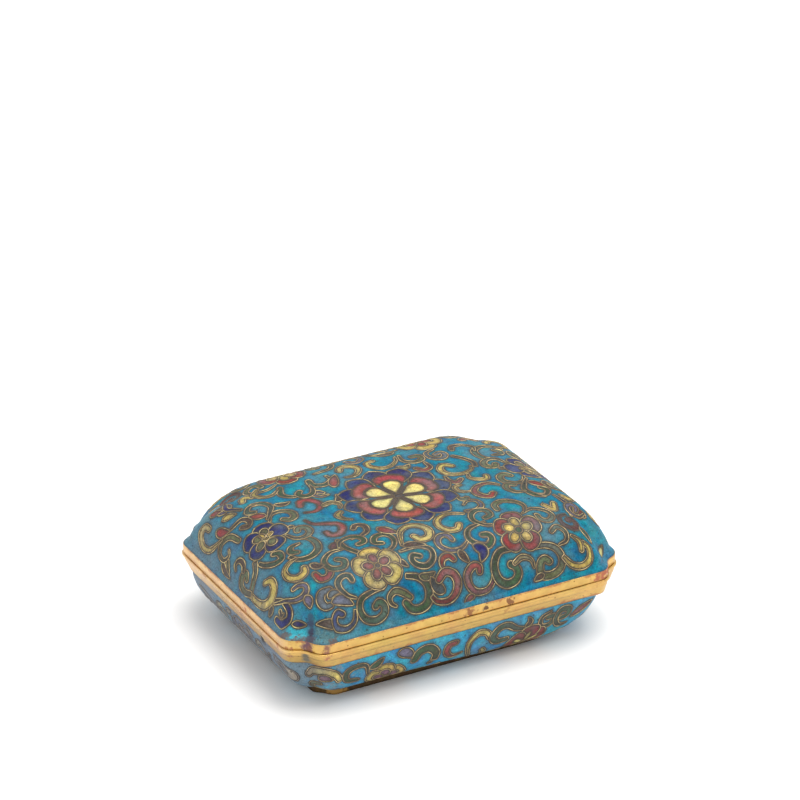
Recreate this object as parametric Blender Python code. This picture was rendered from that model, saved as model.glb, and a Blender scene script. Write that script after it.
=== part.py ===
"""Cloisonne enamel box: a bowl with lobed corners on a low foot, under a domed lift-off lid.

Metres, +Z up, +X along the length. The origin is on the floor under the middle of the box.
Every piece is a loft of rings. Each ring is the same outline, a rectangle whose round corners
dip once in the middle, moved inwards by its own inset and lifted to its own height.
"""
import math

import bpy
import bmesh

# Plan of the widest edge, at the seam between box and lid
LENGTH = 0.1100
WIDTH = 0.0835
CORNER_RADIUS = 0.0111
CORNER_DIP = 0.0026

# Heights, from the floor up
FOOT_HEIGHT = 0.0024
BOWL_HEIGHT = 0.0123
BOX_RIM_HEIGHT = 0.0051
LID_RIM_HEIGHT = 0.0030
DOME_HEIGHT = 0.0172
CONTACT_GAP = 0.0003

# Gilt rims, and the lip on the box that keeps the lid in place
RIM_LEAN = 0.0018
RIM_BEAD = 0.0009
RIM_BEAD_DEPTH = 0.0003
RIM_BEVEL = 0.0003
LID_RIM_INSET = 0.0003
LID_RIM_WALL = 0.0027
LIP_CLEARANCE = 0.0003
LIP_WALL = 0.0010
LIP_HEIGHT = 0.0018

# Enamelled shells, each set back a little on its rim. The bowl's ends draw in further
# towards its underside than its sides do.
SHELL_WALL = 0.0020
DOME_SET_BACK = 0.0011
BOWL_SET_BACK = 0.0004
UNDERSIDE_INSET = 0.0104
UNDERSIDE_END_INSET = 0.0124
UNDERSIDE_CORNER_RADIUS = 0.0090
UNDERSIDE_CORNER_DIP = 0.0014

# Foot: set back a little under the bowl, with tighter corners that stand out from under it
FOOT_SET_BACK = 0.0004
FOOT_CORNER_RADIUS = 0.0060
FOOT_CORNER_DIP = 0.0010
FOOT_WALL = 0.0022
FOOT_FLARE = 0.0003

# Curves of the two shells. A power over 1 makes its end of the curve meet the rim or the
# level more squarely: the bowl's at its edge and at its underside, the dome's on top and at
# its edge.
BOWL_POWERS = (1.6, 2.1)
DOME_POWERS = (6.25, 1.275)
# How much later than the sides the dome's ends draw in, how fast its corners grow rounder,
# and how far in the groove that runs up from each corner has died out.
DOME_END_DELAY = 2.3
DOME_CORNER_GROWTH = 2.1
DOME_GROOVE_END = 0.6

# Fineness of the lofts
CORNER_STEPS = 14
SIDE_STEPS = 3
BOWL_STEPS = 8
DOME_STEPS = 13
SHARP_ANGLE = math.radians(38)

HALF_LENGTH = LENGTH / 2
HALF_WIDTH = WIDTH / 2
BOWL_EDGE_INSET = RIM_LEAN + BOWL_SET_BACK
DOME_EDGE_INSET = LID_RIM_INSET + DOME_SET_BACK
BOWL_FLOOR = FOOT_HEIGHT + CONTACT_GAP
BOWL_TOP = BOWL_FLOOR + BOWL_HEIGHT
BOX_RIM_FLOOR = BOWL_TOP + CONTACT_GAP
SEAM = BOX_RIM_FLOOR + BOX_RIM_HEIGHT
LID_RIM_FLOOR = SEAM + CONTACT_GAP
LID_RIM_TOP = LID_RIM_FLOOR + LID_RIM_HEIGHT
DOME_FLOOR = LID_RIM_TOP + CONTACT_GAP


def outline(inset, radius, dip, end_inset=None):
    """Points of one ring, anticlockwise, for an inset from the widest edge."""
    half_length = HALF_LENGTH - (inset if end_inset is None else end_inset)
    half_width = HALF_WIDTH - inset
    signs = ((1, 1), (-1, 1), (-1, -1), (1, -1))
    corners = []
    for quarter, (side_x, side_y) in enumerate(signs):
        centre_x = side_x * (half_length - radius)
        centre_y = side_y * (half_width - radius)
        corner = []
        for step in range(CORNER_STEPS + 1):
            turn = math.pi / 2 * step / CORNER_STEPS
            reach = radius - dip * math.sin(2 * turn) ** 3
            angle = turn + quarter * math.pi / 2
            corner.append((centre_x + reach * math.cos(angle), centre_y + reach * math.sin(angle)))
        corners.append(corner)
    points = []
    for corner, following in zip(corners, corners[1:] + corners[:1]):
        points += corner
        (x0, y0), (x1, y1) = corner[-1], following[0]
        for step in range(1, SIDE_STEPS):
            share = step / SIDE_STEPS
            points.append((x0 + (x1 - x0) * share, y0 + (y1 - y0) * share))
    return points


def ring(inset, height):
    """One ring of the rims: the widest edge's outline, moved inwards and lifted."""
    return outline(inset, CORNER_RADIUS, CORNER_DIP), height


def foot_level(set_in, height):
    """One ring of the foot, set in from the foot's own outer edge."""
    side = UNDERSIDE_INSET + FOOT_SET_BACK + set_in
    end = UNDERSIDE_END_INSET + FOOT_SET_BACK + set_in
    return outline(side, FOOT_CORNER_RADIUS, FOOT_CORNER_DIP, end), height


def between(start, end, share):
    return start + (end - start) * share


def bowl_rings(set_in):
    """Rings of one face of the bowl, from its floor up: its outside, or set in by the wall."""
    rings = []
    for step in range(BOWL_STEPS + 1):
        turn = math.pi / 2 * step / BOWL_STEPS
        inwards = 1 - math.sin(turn) ** (2 / BOWL_POWERS[1])
        down = math.cos(turn) ** (2 / BOWL_POWERS[0])
        side = between(BOWL_EDGE_INSET, UNDERSIDE_INSET, inwards) + set_in
        end = between(BOWL_EDGE_INSET, UNDERSIDE_END_INSET, inwards) + set_in
        radius = between(CORNER_RADIUS, UNDERSIDE_CORNER_RADIUS, down)
        dip = between(CORNER_DIP, UNDERSIDE_CORNER_DIP, down)
        height = between(BOWL_TOP, BOWL_FLOOR + set_in, down)
        rings.append((outline(side, radius, dip, end), height))
    return rings


def dome_rings(set_in):
    """Rings of one face of the dome, from its edge up: its outside, or set in by the wall."""
    edge_inset = DOME_EDGE_INSET + set_in
    half_length = HALF_LENGTH - edge_inset
    half_width = HALF_WIDTH - edge_inset
    dip_share = CORNER_DIP / CORNER_RADIUS
    rings = []
    for step in range(DOME_STEPS + 1):
        share = (step / (DOME_STEPS + 1)) ** 2
        side = half_width * share
        end = side * (1 + (half_length / half_width - 1) * share ** DOME_END_DELAY)
        radius = min(CORNER_RADIUS * (1 + DOME_CORNER_GROWTH * share), half_width - side)
        dip = radius * dip_share * max(0, 1 - share / DOME_GROOVE_END)
        rise = (1 - (1 - share) ** DOME_POWERS[0]) ** (1 / DOME_POWERS[1])
        points = outline(edge_inset + side, radius, dip, edge_inset + end)
        rings.append((points, DOME_FLOOR + (DOME_HEIGHT - set_in) * rise))
    return rings


def loft(name, rings, material, closed):
    """One solid through the rings: a closed tube, or a shell that each end ring's face ends."""
    shape = bmesh.new()
    loops = [[shape.verts.new((x, y, height)) for x, y in points] for points, height in rings]
    pairs = list(zip(loops, loops[1:]))
    if closed:
        pairs.append((loops[-1], loops[0]))
    else:
        ends = [shape.faces.new(loops[0]), shape.faces.new(loops[-1])]
        bmesh.ops.poke(shape, faces=ends)
    for near, far in pairs:
        for index in range(len(near)):
            after = (index + 1) % len(near)
            shape.faces.new((near[index], near[after], far[after], far[index]))
    bmesh.ops.triangulate(shape, faces=shape.faces)
    bmesh.ops.recalc_face_normals(shape, faces=shape.faces)
    mesh = bpy.data.meshes.new(name)
    shape.to_mesh(mesh)
    shape.free()
    mesh.shade_smooth()
    mesh.set_sharp_from_angle(angle=SHARP_ANGLE)
    mesh.materials.append(material)
    piece = bpy.data.objects.new(name, mesh)
    bpy.context.scene.collection.objects.link(piece)
    return piece


def finish(name, colour, roughness, metallic):
    material = bpy.data.materials.new(name)
    material.use_nodes = True
    shader = material.node_tree.nodes["Principled BSDF"]
    shader.inputs["Base Color"].default_value = (*colour, 1)
    shader.inputs["Roughness"].default_value = roughness
    shader.inputs["Metallic"].default_value = metallic
    return material


def foot_ring():
    """Low cast foot under the bowl, a little wider where it stands."""
    rings = [
        foot_level(-FOOT_FLARE, 0),
        foot_level(0, FOOT_HEIGHT),
        foot_level(FOOT_WALL, FOOT_HEIGHT),
        foot_level(FOOT_WALL, 0),
    ]
    loft("foot_ring", rings, finish("foot_gilt", (0.26, 0.17, 0.08), 0.45, 1.0), closed=True)


def box_bowl():
    """Enamelled bowl of the box, with its inside."""
    enamel = finish("bowl_enamel", (0.03, 0.30, 0.48), 0.25, 0.0)
    loft("box_bowl", bowl_rings(0) + bowl_rings(SHELL_WALL)[::-1], enamel, closed=False)


def box_rim():
    """Gilt rim of the box: a bead under the seam, a face that leans in, and the lid's lip."""
    lip_outside = LID_RIM_INSET + LID_RIM_WALL + LIP_CLEARANCE
    lip_inside = lip_outside + LIP_WALL
    rings = [
        ring(RIM_BEVEL, SEAM),
        ring(0, SEAM - RIM_BEVEL),
        ring(0, SEAM - RIM_BEAD),
        ring(RIM_BEAD_DEPTH, SEAM - RIM_BEAD - RIM_BEVEL),
        ring(RIM_LEAN, BOX_RIM_FLOOR),
        ring(lip_inside, BOX_RIM_FLOOR),
        ring(lip_inside, SEAM + LIP_HEIGHT),
        ring(lip_outside, SEAM + LIP_HEIGHT),
        ring(lip_outside, SEAM),
    ]
    loft("box_rim", rings, finish("box_rim_gilt", (0.80, 0.55, 0.22), 0.32, 1.0), closed=True)


def lid_rim():
    """Gilt rim of the lid, with a ledge where the enamel starts."""
    rings = [
        ring(LID_RIM_INSET + RIM_BEVEL, LID_RIM_FLOOR),
        ring(LID_RIM_INSET, LID_RIM_FLOOR + RIM_BEVEL),
        ring(LID_RIM_INSET, LID_RIM_TOP - RIM_BEVEL),
        ring(LID_RIM_INSET + RIM_BEVEL, LID_RIM_TOP),
        ring(LID_RIM_INSET + LID_RIM_WALL, LID_RIM_TOP),
        ring(LID_RIM_INSET + LID_RIM_WALL, LID_RIM_FLOOR),
    ]
    loft("lid_rim", rings, finish("lid_rim_gilt", (0.80, 0.55, 0.22), 0.32, 1.0), closed=True)


def lid_dome():
    """Enamelled cushion dome of the lid, hollow underneath."""
    enamel = finish("lid_enamel", (0.02, 0.32, 0.42), 0.25, 0.0)
    loft("lid_dome", dome_rings(0)[::-1] + dome_rings(SHELL_WALL), enamel, closed=False)


def main():
    for old in list(bpy.data.objects):
        bpy.data.objects.remove(old, do_unlink=True)
    foot_ring()
    box_bowl()
    box_rim()
    lid_rim()
    lid_dome()


main()
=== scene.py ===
"""Cloisonne enamel box: the finished look of every surface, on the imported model.

The patterns are drawn in millimetres on a flat plan of each enamelled shell and then laid on
it. The lid's plan is its surface unrolled from the middle of its top outwards, so that steep
sides keep their length. The bowl's plan is a strip that runs round it below its rim.
"""

import math

import bpy
import bmesh
import numpy as np
from mathutils import Matrix, Vector, kdtree
from mathutils.geometry import delaunay_2d_cdt


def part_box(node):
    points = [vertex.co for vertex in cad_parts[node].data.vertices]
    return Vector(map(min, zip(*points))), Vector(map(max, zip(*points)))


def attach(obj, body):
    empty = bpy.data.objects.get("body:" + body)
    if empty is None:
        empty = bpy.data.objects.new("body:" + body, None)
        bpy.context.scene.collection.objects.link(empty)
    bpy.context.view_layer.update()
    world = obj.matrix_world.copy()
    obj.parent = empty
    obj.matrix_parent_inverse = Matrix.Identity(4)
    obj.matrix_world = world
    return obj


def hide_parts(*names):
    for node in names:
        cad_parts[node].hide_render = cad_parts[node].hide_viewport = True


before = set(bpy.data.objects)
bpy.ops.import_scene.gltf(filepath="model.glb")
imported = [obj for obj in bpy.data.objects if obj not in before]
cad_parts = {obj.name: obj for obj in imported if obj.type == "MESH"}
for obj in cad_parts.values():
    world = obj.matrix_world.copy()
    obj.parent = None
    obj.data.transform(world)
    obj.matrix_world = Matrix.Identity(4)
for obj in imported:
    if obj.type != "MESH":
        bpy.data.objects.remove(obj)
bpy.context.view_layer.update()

MM = 0.001

# Sizes that the solids have too, in millimetres, and the powers and shares of their curves
HALF_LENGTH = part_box("box_rim")[1][0] / MM
HALF_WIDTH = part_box("box_rim")[1][1] / MM
CORNER_RADIUS = 11.1
CORNER_DIP = 2.6
SHELL_WALL = 2.0
CONTACT_GAP = 0.3
LID_RIM_INSET = 0.3
LID_RIM_WALL = 2.7
LIP_OUTSIDE = 3.3
LIP_INSIDE = 4.3
UNDERSIDE_RADIUS = 9.0
UNDERSIDE_DIP = 1.4
FOOT_RADIUS = 6.0
FOOT_DIP = 1.0
FOOT_WALL = 2.2
FOOT_FLARE = 0.3
# How far the foot's widest edge stays inside the bowl's underside
FOOT_SET_OUT = 0.1
BOWL_POWERS = (1.6, 2.1)
DOME_POWERS = (6.25, 1.275)
DOME_END_DELAY = 2.3
DOME_CORNER_GROWTH = 2.1
DOME_GROOVE_END = 0.6

# Heights that several pieces share, in millimetres
BOX_RIM_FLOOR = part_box("box_rim")[0][2] / MM
LID_RIM_FLOOR, LID_RIM_TOP = (corner[2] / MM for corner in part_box("lid_rim"))
DOME_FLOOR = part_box("lid_dome")[0][2] / MM
SEAM = LID_RIM_FLOOR - CONTACT_GAP

# The band's rings further in than this are behind its face
BAND_FACE_DEPTH = 2
SHARP_ANGLE = math.radians(40)

# Fineness, in millimetres: of the enamel's triangles, of the lines that cross it and of spines
ENAMEL_GRID = 0.62
LINE_STEP = 0.5
SPINE_STEP = 0.3
WIRE_CLEARANCE = 0.3

# Fineness, in steps: of the two shells' profiles, of the dome's plan at its corners and sides,
# of the search for a place on the dome, and of the two insides
DOME_PROFILE_POINTS = 4001
BOWL_PROFILE_POINTS = 2001
DOME_PLAN_STEPS = (60, 150)
SEARCH_STEPS = 40
DOME_INSIDE_STEPS = 22
BOWL_INSIDE_STEPS = 16

# The inlaid wires and what shows beside them, in millimetres
WIRE_RADIUS = 0.105
BED_WIDTH = 0.80
BED_HEIGHT = 0.015
DARK_EDGE_REACH = 1.15

# How far the bowl is out of true, in millimetres
UNDERSIDE_HANG = 1.15
BOWL_DRAW = 2.6
FOOT_DRAW = 3.2

# The photograph's camera
CAMERA_AZIMUTH = math.radians(-28.591)
CAMERA_ELEVATION = math.radians(26.076)
CAMERA_DISTANCE = 1.100
CAMERA_SIDEWAYS = 0.00041
CAMERA_UPWARDS = 0.0640
CAMERA_LENS = 167.5

# The studio, in metres
FLOOR_REACH = 6.0
SOFTBOX_PLACE = Vector((0.26, -0.10, 1.55))
SOFTBOX_AIM = Vector((0, 0, 0.02))


def between(start, end, share):
    return start + (end - start) * share


def eased(value, start, end):
    """0 up to the start, 1 from the end on, and a smooth change between them."""
    share = np.clip((value - start) / (end - start), 0, 1)
    return share ** 2 * (3 - 2 * share)


def seen(red, green, blue):
    """A colour as it looks on a screen, 0 to 255, turned into a shader's colour."""
    shares = np.array([red, green, blue]) / 255
    bent = np.where(shares <= 0.04045, shares / 12.92, ((shares + 0.055) / 1.055) ** 2.4)
    return tuple(float(value) for value in bent)


# Enamel colours: at a band's round end or a petal's foot, and at its far end
ENAMELS = {
    "cobalt": (seen(28, 34, 104), seen(20, 26, 84)),
    "midnight": (seen(22, 26, 76), seen(24, 32, 92)),
    "red": (seen(148, 60, 52), seen(116, 48, 46)),
    "rose": (seen(164, 74, 68), seen(140, 60, 56)),
    "maroon": (seen(98, 48, 46), seen(78, 42, 44)),
    "yellow": (seen(204, 180, 98), seen(180, 154, 80)),
    "pale_yellow": (seen(212, 196, 112), seen(222, 204, 116)),
    "worn_yellow": (seen(136, 118, 84), seen(208, 188, 102)),
    "ochre": (seen(160, 140, 82), seen(130, 114, 70)),
    "green": (seen(60, 90, 60), seen(62, 68, 50)),
    "dark_green": (seen(52, 72, 58), seen(54, 62, 52)),
    "olive": (seen(102, 112, 74), seen(94, 84, 62)),
    "brown": (seen(92, 72, 58), seen(76, 62, 56)),
    "lilac": (seen(108, 102, 126), seen(92, 90, 104)),
    "grey": (seen(104, 112, 120), seen(86, 98, 108)),
    "mauve": (seen(126, 84, 98), seen(106, 72, 88)),
    "dark": (seen(66, 68, 66), seen(58, 58, 58)),
    "umber": (seen(78, 54, 48), seen(92, 60, 54)),
    "sand": (seen(196, 176, 134), seen(122, 124, 136)),
}
LID_GROUND = seen(0, 110, 134)
BOWL_GROUND = seen(46, 142, 176)
FATTER_BANDS = 1.25
DARK_WIRED = {"umber", "pale_yellow", "rose", "maroon"}


# Shapes of the two shells

def corner_reach(radius, dip, turn):
    """How far a lobed corner reaches from its centre, with its dip in the middle."""
    return radius - dip * np.sin(2 * turn) ** 3


def ring_outline(half_x, half_y, radius, dip, corner_steps=36, side_steps=26):
    """Points of one ring, anticlockwise from the right side's far end, in millimetres."""
    turns = np.linspace(0, np.pi / 2, corner_steps + 1)
    reach = corner_reach(radius, dip, turns)
    points = []
    for quarter, (side_x, side_y) in enumerate(((1, 1), (-1, 1), (-1, -1), (1, -1))):
        angles = turns + quarter * np.pi / 2
        across = side_x * (half_x - radius) + reach * np.cos(angles)
        along = side_y * (half_y - radius) + reach * np.sin(angles)
        points.append(np.column_stack([across, along]))
    loop = []
    for corner, following in zip(points, points[1:] + points[:1]):
        loop.append(corner)
        shares = np.linspace(0, 1, side_steps + 1)[1:-1, None]
        loop.append(corner[-1] + (following[0] - corner[-1]) * shares)
    return np.vstack(loop)


class Dome:
    """The lid's outside: rings from its edge, share 0, to the middle of its top, share 1."""

    def __init__(self, set_in=0.0):
        low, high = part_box("lid_dome")
        self.half_x = high[0] / MM - set_in
        self.half_y = high[1] / MM - set_in
        self.floor = low[2] / MM
        self.height = (high[2] - low[2]) / MM - set_in
        self.shares = np.linspace(0, 1, DOME_PROFILE_POINTS) ** 2
        _, half_y, _, _, level = self.ring(self.shares)
        arc = np.concatenate([[0], np.cumsum(np.hypot(np.diff(half_y), np.diff(level)))])
        self.spares = (arc[-1] - arc) - half_y

    def ring(self, share):
        """Half sizes, corner radius, corner dip and height of one ring."""
        half_y = self.half_y * (1 - share)
        drawn_in = (self.half_x / self.half_y - 1) * share ** DOME_END_DELAY
        half_x = self.half_x - self.half_y * share * (1 + drawn_in)
        radius = np.minimum(CORNER_RADIUS * (1 + DOME_CORNER_GROWTH * share), half_y)
        dip = radius * CORNER_DIP / CORNER_RADIUS * np.maximum(0, 1 - share / DOME_GROOVE_END)
        rise = (1 - (1 - share) ** DOME_POWERS[0]) ** (1 / DOME_POWERS[1])
        return half_x, half_y, radius, dip, self.floor + self.height * rise

    def plan_outline(self):
        """The edge of the unrolled plan."""
        half_x, half_y, radius, dip, _ = self.ring(0.0)
        spare = self.spares[0]
        return ring_outline(half_x + spare, half_y + spare, radius + spare, dip, *DOME_PLAN_STEPS)

    def on_surface(self, points):
        """Places on the dome of points of the unrolled plan."""
        signs = np.where(points < 0, -1.0, 1.0)
        across, along = np.abs(points).T
        low = np.zeros(len(points))
        high = np.ones(len(points))
        for _ in range(SEARCH_STEPS):
            share = (low + high) / 2
            half_x, half_y, radius, dip, _ = self.ring(share)
            spare = np.interp(share, self.shares, self.spares)
            beyond_x = across - (half_x - radius)
            beyond_y = along - (half_y - radius)
            turn = np.arctan2(np.maximum(beyond_y, 0), np.maximum(beyond_x, 1e-9))
            reach = corner_reach(radius + spare, dip, turn)
            in_corner = (beyond_x > 0) & (beyond_y > 0)
            past_sides = (across > half_x + spare) | (along > half_y + spare)
            outside = np.where(in_corner, np.hypot(beyond_x, beyond_y) > reach, past_sides)
            high = np.where(outside, share, high)
            low = np.where(outside, low, share)
        reach = corner_reach(radius, dip, turn)
        corner_x = half_x - radius + reach * np.cos(turn)
        corner_y = half_y - radius + reach * np.sin(turn)
        side_x = np.where(beyond_x > 0, half_x, across)
        side_y = np.where(beyond_y > 0, half_y, along)
        _, _, _, _, level = self.ring(share)
        plan_x = np.where(in_corner, corner_x, side_x) * signs[:, 0]
        plan_y = np.where(in_corner, corner_y, side_y) * signs[:, 1]
        return np.column_stack([plan_x, plan_y, level])


class Bowl:
    """The bowl's outside: rings from its floor, turn 0, to its edge, a quarter turn."""

    def __init__(self, set_in=0.0):
        low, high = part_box("box_bowl")
        foot_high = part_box("foot_ring")[1]
        self.edge_x = high[0] / MM - set_in
        self.edge_y = high[1] / MM - set_in
        self.under_x = foot_high[0] / MM + FOOT_SET_OUT - set_in
        self.under_y = foot_high[1] / MM + FOOT_SET_OUT - set_in
        self.floor = low[2] / MM + set_in
        self.top = high[2] / MM
        self.turns = np.linspace(np.pi / 2, 0, BOWL_PROFILE_POINTS)
        _, half_y, _, _, level = self.ring(self.turns)
        self.arc = np.concatenate([[0], np.cumsum(np.hypot(np.diff(half_y), np.diff(level)))])
        self.depth = self.arc[-1]
        half_x, half_y, radius, _, _ = self.ring(np.pi / 2)
        self.side_x = half_x - radius
        self.side_y = half_y - radius
        self.corner = radius * np.pi / 2
        self.half_round = 2 * (self.side_x + self.side_y + self.corner)

    def ring(self, turn):
        """Half sizes, corner radius, corner dip and height of one ring."""
        inwards = 1 - np.sin(turn) ** (2 / BOWL_POWERS[1])
        down = np.maximum(np.cos(turn), 0) ** (2 / BOWL_POWERS[0])
        half_x = between(self.edge_x, self.under_x, inwards)
        half_y = between(self.edge_y, self.under_y, inwards)
        radius = between(CORNER_RADIUS, UNDERSIDE_RADIUS, down)
        dip = between(CORNER_DIP, UNDERSIDE_DIP, down)
        return half_x, half_y, radius, dip, between(self.top, self.floor, down)

    def plan_outline(self):
        """The edge of the strip, from the middle of the back round to it again."""
        half = self.half_round
        corners = np.array([[-half, -self.depth], [half, -self.depth], [half, 0], [-half, 0]])
        return evenly(corners, ENAMEL_GRID, closed=True)

    def on_surface(self, points):
        """Places on the bowl of points of the strip: along it, and down it from the edge."""
        turn = np.interp(-points[:, 1], self.arc, self.turns)
        half_x, half_y, radius, dip, level = self.ring(turn)
        straight_x = half_x - radius
        straight_y = half_y - radius
        along = np.clip(np.abs(points[:, 0]), 0, self.half_round)
        sign = np.where(points[:, 0] < 0, -1.0, 1.0)
        marks = np.cumsum([self.side_x, self.corner, 2 * self.side_y, self.corner])
        first = np.clip((along - marks[0]) / self.corner, 0, 1) * np.pi / 2
        second = np.clip((along - marks[2]) / self.corner, 0, 1) * np.pi / 2
        near_reach = corner_reach(radius, dip, first)
        far_reach = corner_reach(radius, dip, second)
        places = [along <= marks[0], along <= marks[1], along <= marks[2], along <= marks[3]]
        across = np.select(places, [
            along / self.side_x * straight_x,
            straight_x + near_reach * np.sin(first),
            half_x,
            straight_x + far_reach * np.cos(second),
        ], straight_x * (1 - (along - marks[3]) / self.side_x))
        back = np.select(places, [
            -half_y,
            -straight_y - near_reach * np.cos(first),
            straight_y * ((along - marks[1]) / self.side_y - 1),
            straight_y + far_reach * np.sin(second),
        ], half_y)
        return np.column_stack(self.uneven(across * sign, back, level))

    def uneven(self, across, back, level, draw=BOWL_DRAW):
        """Places moved as the bowl is out of true: its underside hangs lower along the right half
        of its front, and its front right corner draws in."""
        down = np.maximum(self.top - level, 0) / (self.top - self.floor)
        frontwards = eased(-back, 0, 24)
        hang = UNDERSIDE_HANG * eased(across, -24, 26) * (1 - eased(across, 32, 46)) * frontwards
        pull = draw * eased(across, 24, 44) * frontwards * down ** 0.7
        return across - 0.8 * pull, back + 0.6 * pull, level - hang * down


def directions(shell, points):
    """The shell's outward direction at points of its plan."""
    step = 0.15
    right = shell.on_surface(points + [step, 0]) - shell.on_surface(points - [step, 0])
    up = shell.on_surface(points + [0, step]) - shell.on_surface(points - [0, step])
    out = np.cross(right, up)
    return out / np.maximum(np.linalg.norm(out, axis=1), 1e-9)[:, None]


# Drawing on a plan: every cell is an outline with its spine and its two colours

def evenly(line, step, closed=False):
    """The line with its points at even steps."""
    if closed:
        line = np.vstack([line, line[:1]])
    lengths = np.concatenate([[0], np.cumsum(np.hypot(*np.diff(line, axis=0).T))])
    count = max(4, round(lengths[-1] / step))
    places = np.linspace(0, lengths[-1], count + 1)
    even = np.column_stack([np.interp(places, lengths, line[:, axis]) for axis in (0, 1)])
    return even[:-1] if closed else even


def smooth(points):
    """A smooth line through the points."""
    points = np.array(points, float)
    ends = np.vstack([2 * points[0] - points[1], points, 2 * points[-1] - points[-2]])
    share = np.linspace(0, 1, 12, endpoint=False)[:, None]
    line = []
    for first, second, third, fourth in zip(ends, ends[1:], ends[2:], ends[3:]):
        bend = 2 * first - 5 * second + 4 * third - fourth
        twist = 3 * second - first - 3 * third + fourth
        line.append(second + ((third - first) * share + bend * share ** 2 + twist * share ** 3) / 2)
    line.append(points[-1:])
    return evenly(np.vstack(line), SPINE_STEP)


def cell(colour, outline, spine):
    return {"colour": colour, "outline": evenly(outline, LINE_STEP, closed=True), "spine": spine}


def band(colour, spine, half):
    """The cell that lies half a width to both sides of its spine, round at its first end."""
    ways = np.gradient(spine, axis=0)
    ways /= np.maximum(np.hypot(*ways.T), 1e-9)[:, None]
    sideways = np.column_stack([-ways[:, 1], ways[:, 0]]) * half[:, None]
    turns = np.linspace(0, np.pi, 9)[1:-1, None]
    cap = spine[0] - sideways[0] * np.cos(turns) - ways[0] * half[0] * np.sin(turns)
    return cell(colour, np.vstack([spine + sideways, (spine - sideways)[::-1], cap]), spine)


def scroll(colour, width, *points, tail=0.3, head=0.75):
    """A scroll: a band from the round end in its eye, through its belly, to its thin far end."""
    spine = smooth(points)
    share = np.linspace(0, 1, len(spine))
    half = FATTER_BANDS * width / 2 * between(1, tail, share ** 1.6)
    half *= between(head, 1, np.minimum(share / 0.35, 1))
    return [band(colour, spine, half)]


def leaf(colour, width, *points):
    """A leaf: widest before its middle, pointed at its far end."""
    spine = smooth(points)
    share = np.linspace(0, 1, len(spine))
    half = FATTER_BANDS * width / 2 * np.sin(np.pi * share ** 0.75) ** 0.8 + 0.04
    return [band(colour, spine, half)]


def stem(colour, width, *points):
    """A stalk of one width."""
    spine = smooth(points)
    return [band(colour, spine, np.full(len(spine), width / 2))]


def petal(colour, centre, angle, near, far, half_width, fullness=0.5, lean=1.0):
    """A petal that points away from the centre. Fullness 0.5 is round, 1 comes to a point."""
    share = np.linspace(0, 1, 17)
    side = half_width * (4 * share ** lean * (1 - share ** lean)) ** fullness
    way = np.array([math.cos(math.radians(angle)), math.sin(math.radians(angle))])
    spine = np.array(centre) + way * between(near, far, share)[:, None]
    sideways = np.array([-way[1], way[0]]) * side[:, None]
    return [cell(colour, np.vstack([spine + sideways, (spine - sideways)[-2:0:-1]]), spine)]


def dot(colour, x, y, radius, high=None):
    """A round or oval cell."""
    turns = np.linspace(0, 2 * np.pi, 24, endpoint=False)
    outline = np.column_stack([x + radius * np.cos(turns), y + (high or radius) * np.sin(turns)])
    return [cell(colour, outline, np.array([[x, y], [x + radius, y]]))]


def turned(cells, centre):
    """The same cells turned half a turn about a centre."""
    middle = 2 * np.array(centre)
    return [
        {"colour": one["colour"], "outline": middle - one["outline"], "spine": middle - one["spine"]}
        for one in cells
    ]


def shifted(cells, move, flip=1):
    """The same cells moved along, and mirrored first where flip is -1."""
    scale = np.array([flip, 1])
    order = slice(None, None, flip)
    return [
        {"colour": one["colour"], "outline": (one["outline"] * scale + move)[order],
         "spine": one["spine"] * scale + move}
        for one in cells
    ]


def daisy(centre, petals, inner, eye):
    """A five-petalled flower: its petals, the drops in them, and its eye."""
    cells = []
    for colour, angle, reach, half_width in petals:
        cells += petal(colour, centre, angle, 0.8, reach, half_width, 0.45, 1.35)
    for colour, angle, near, far, half_width in inner:
        cells += petal(colour, centre, angle, near, far, half_width, 0.5)
    return cells + dot(eye[0], *centre, eye[1])


# The lid's pattern

HUB = (-1.0, -1.5)


def hub_flower():
    """The flower in the middle of the lid: cobalt points, red lobes and yellow drops."""
    cells = []
    for colour, count, first, *shape in (
        ("midnight", 12, 1, 4.0, 17.6, 3.9, 1.0, 2.0),
        ("rose", 6, 16, 2.0, 14.0, 5.0, 0.72, 2.2),
        ("umber", 6, 16, 0.2, 10.3, 3.2, 0.6, 2.0),
        ("pale_yellow", 6, 16, 1.2, 9.9, 2.85, 0.62, 2.1),
    ):
        for step in range(count):
            cells += petal(colour, HUB, first + 360 // count * step, *shape)
    return cells + dot("umber", *HUB, 1.2)


def yellow_flower(centre):
    petals = [("yellow", angle, 7.6, 3.5) for angle in (92, 18, 164, 240, 316)]
    inner = [("red", angle, 0.9, 4.7, 1.5) for angle in (92, 22, 168, 243, 310)]
    return daisy(centre, petals, inner, ("brown", 0.9))


def red_flower(centre):
    angles = (88, 10, 150, 222, 300)
    petals = [("red", angle, 7.5, 3.3) for angle in angles]
    inner = [("yellow", angle, 0.8, 4.8, 1.6) for angle in angles]
    return daisy(centre, petals, inner, ("green", 1.2))


def cobalt_flower(centre):
    """The left flower, in whose eye two yellow stamens show."""
    petals = [("cobalt", angle, reach, 3.3) for angle, reach in (
        (74, 7.2), (3, 7.2), (138, 8.2), (200, 7.6), (278, 7.2))]
    inner = [("olive", angle, 1.2, 4.8, 1.45) for angle in (74, 134, 200, 278)]
    cells = daisy(centre, petals, inner, ("yellow", 1.1))
    for angle, far in ((100, 3.4), (20, 3.0)):
        cells += petal("yellow", centre, angle, 0.4, far, 0.8)
    return cells


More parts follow.
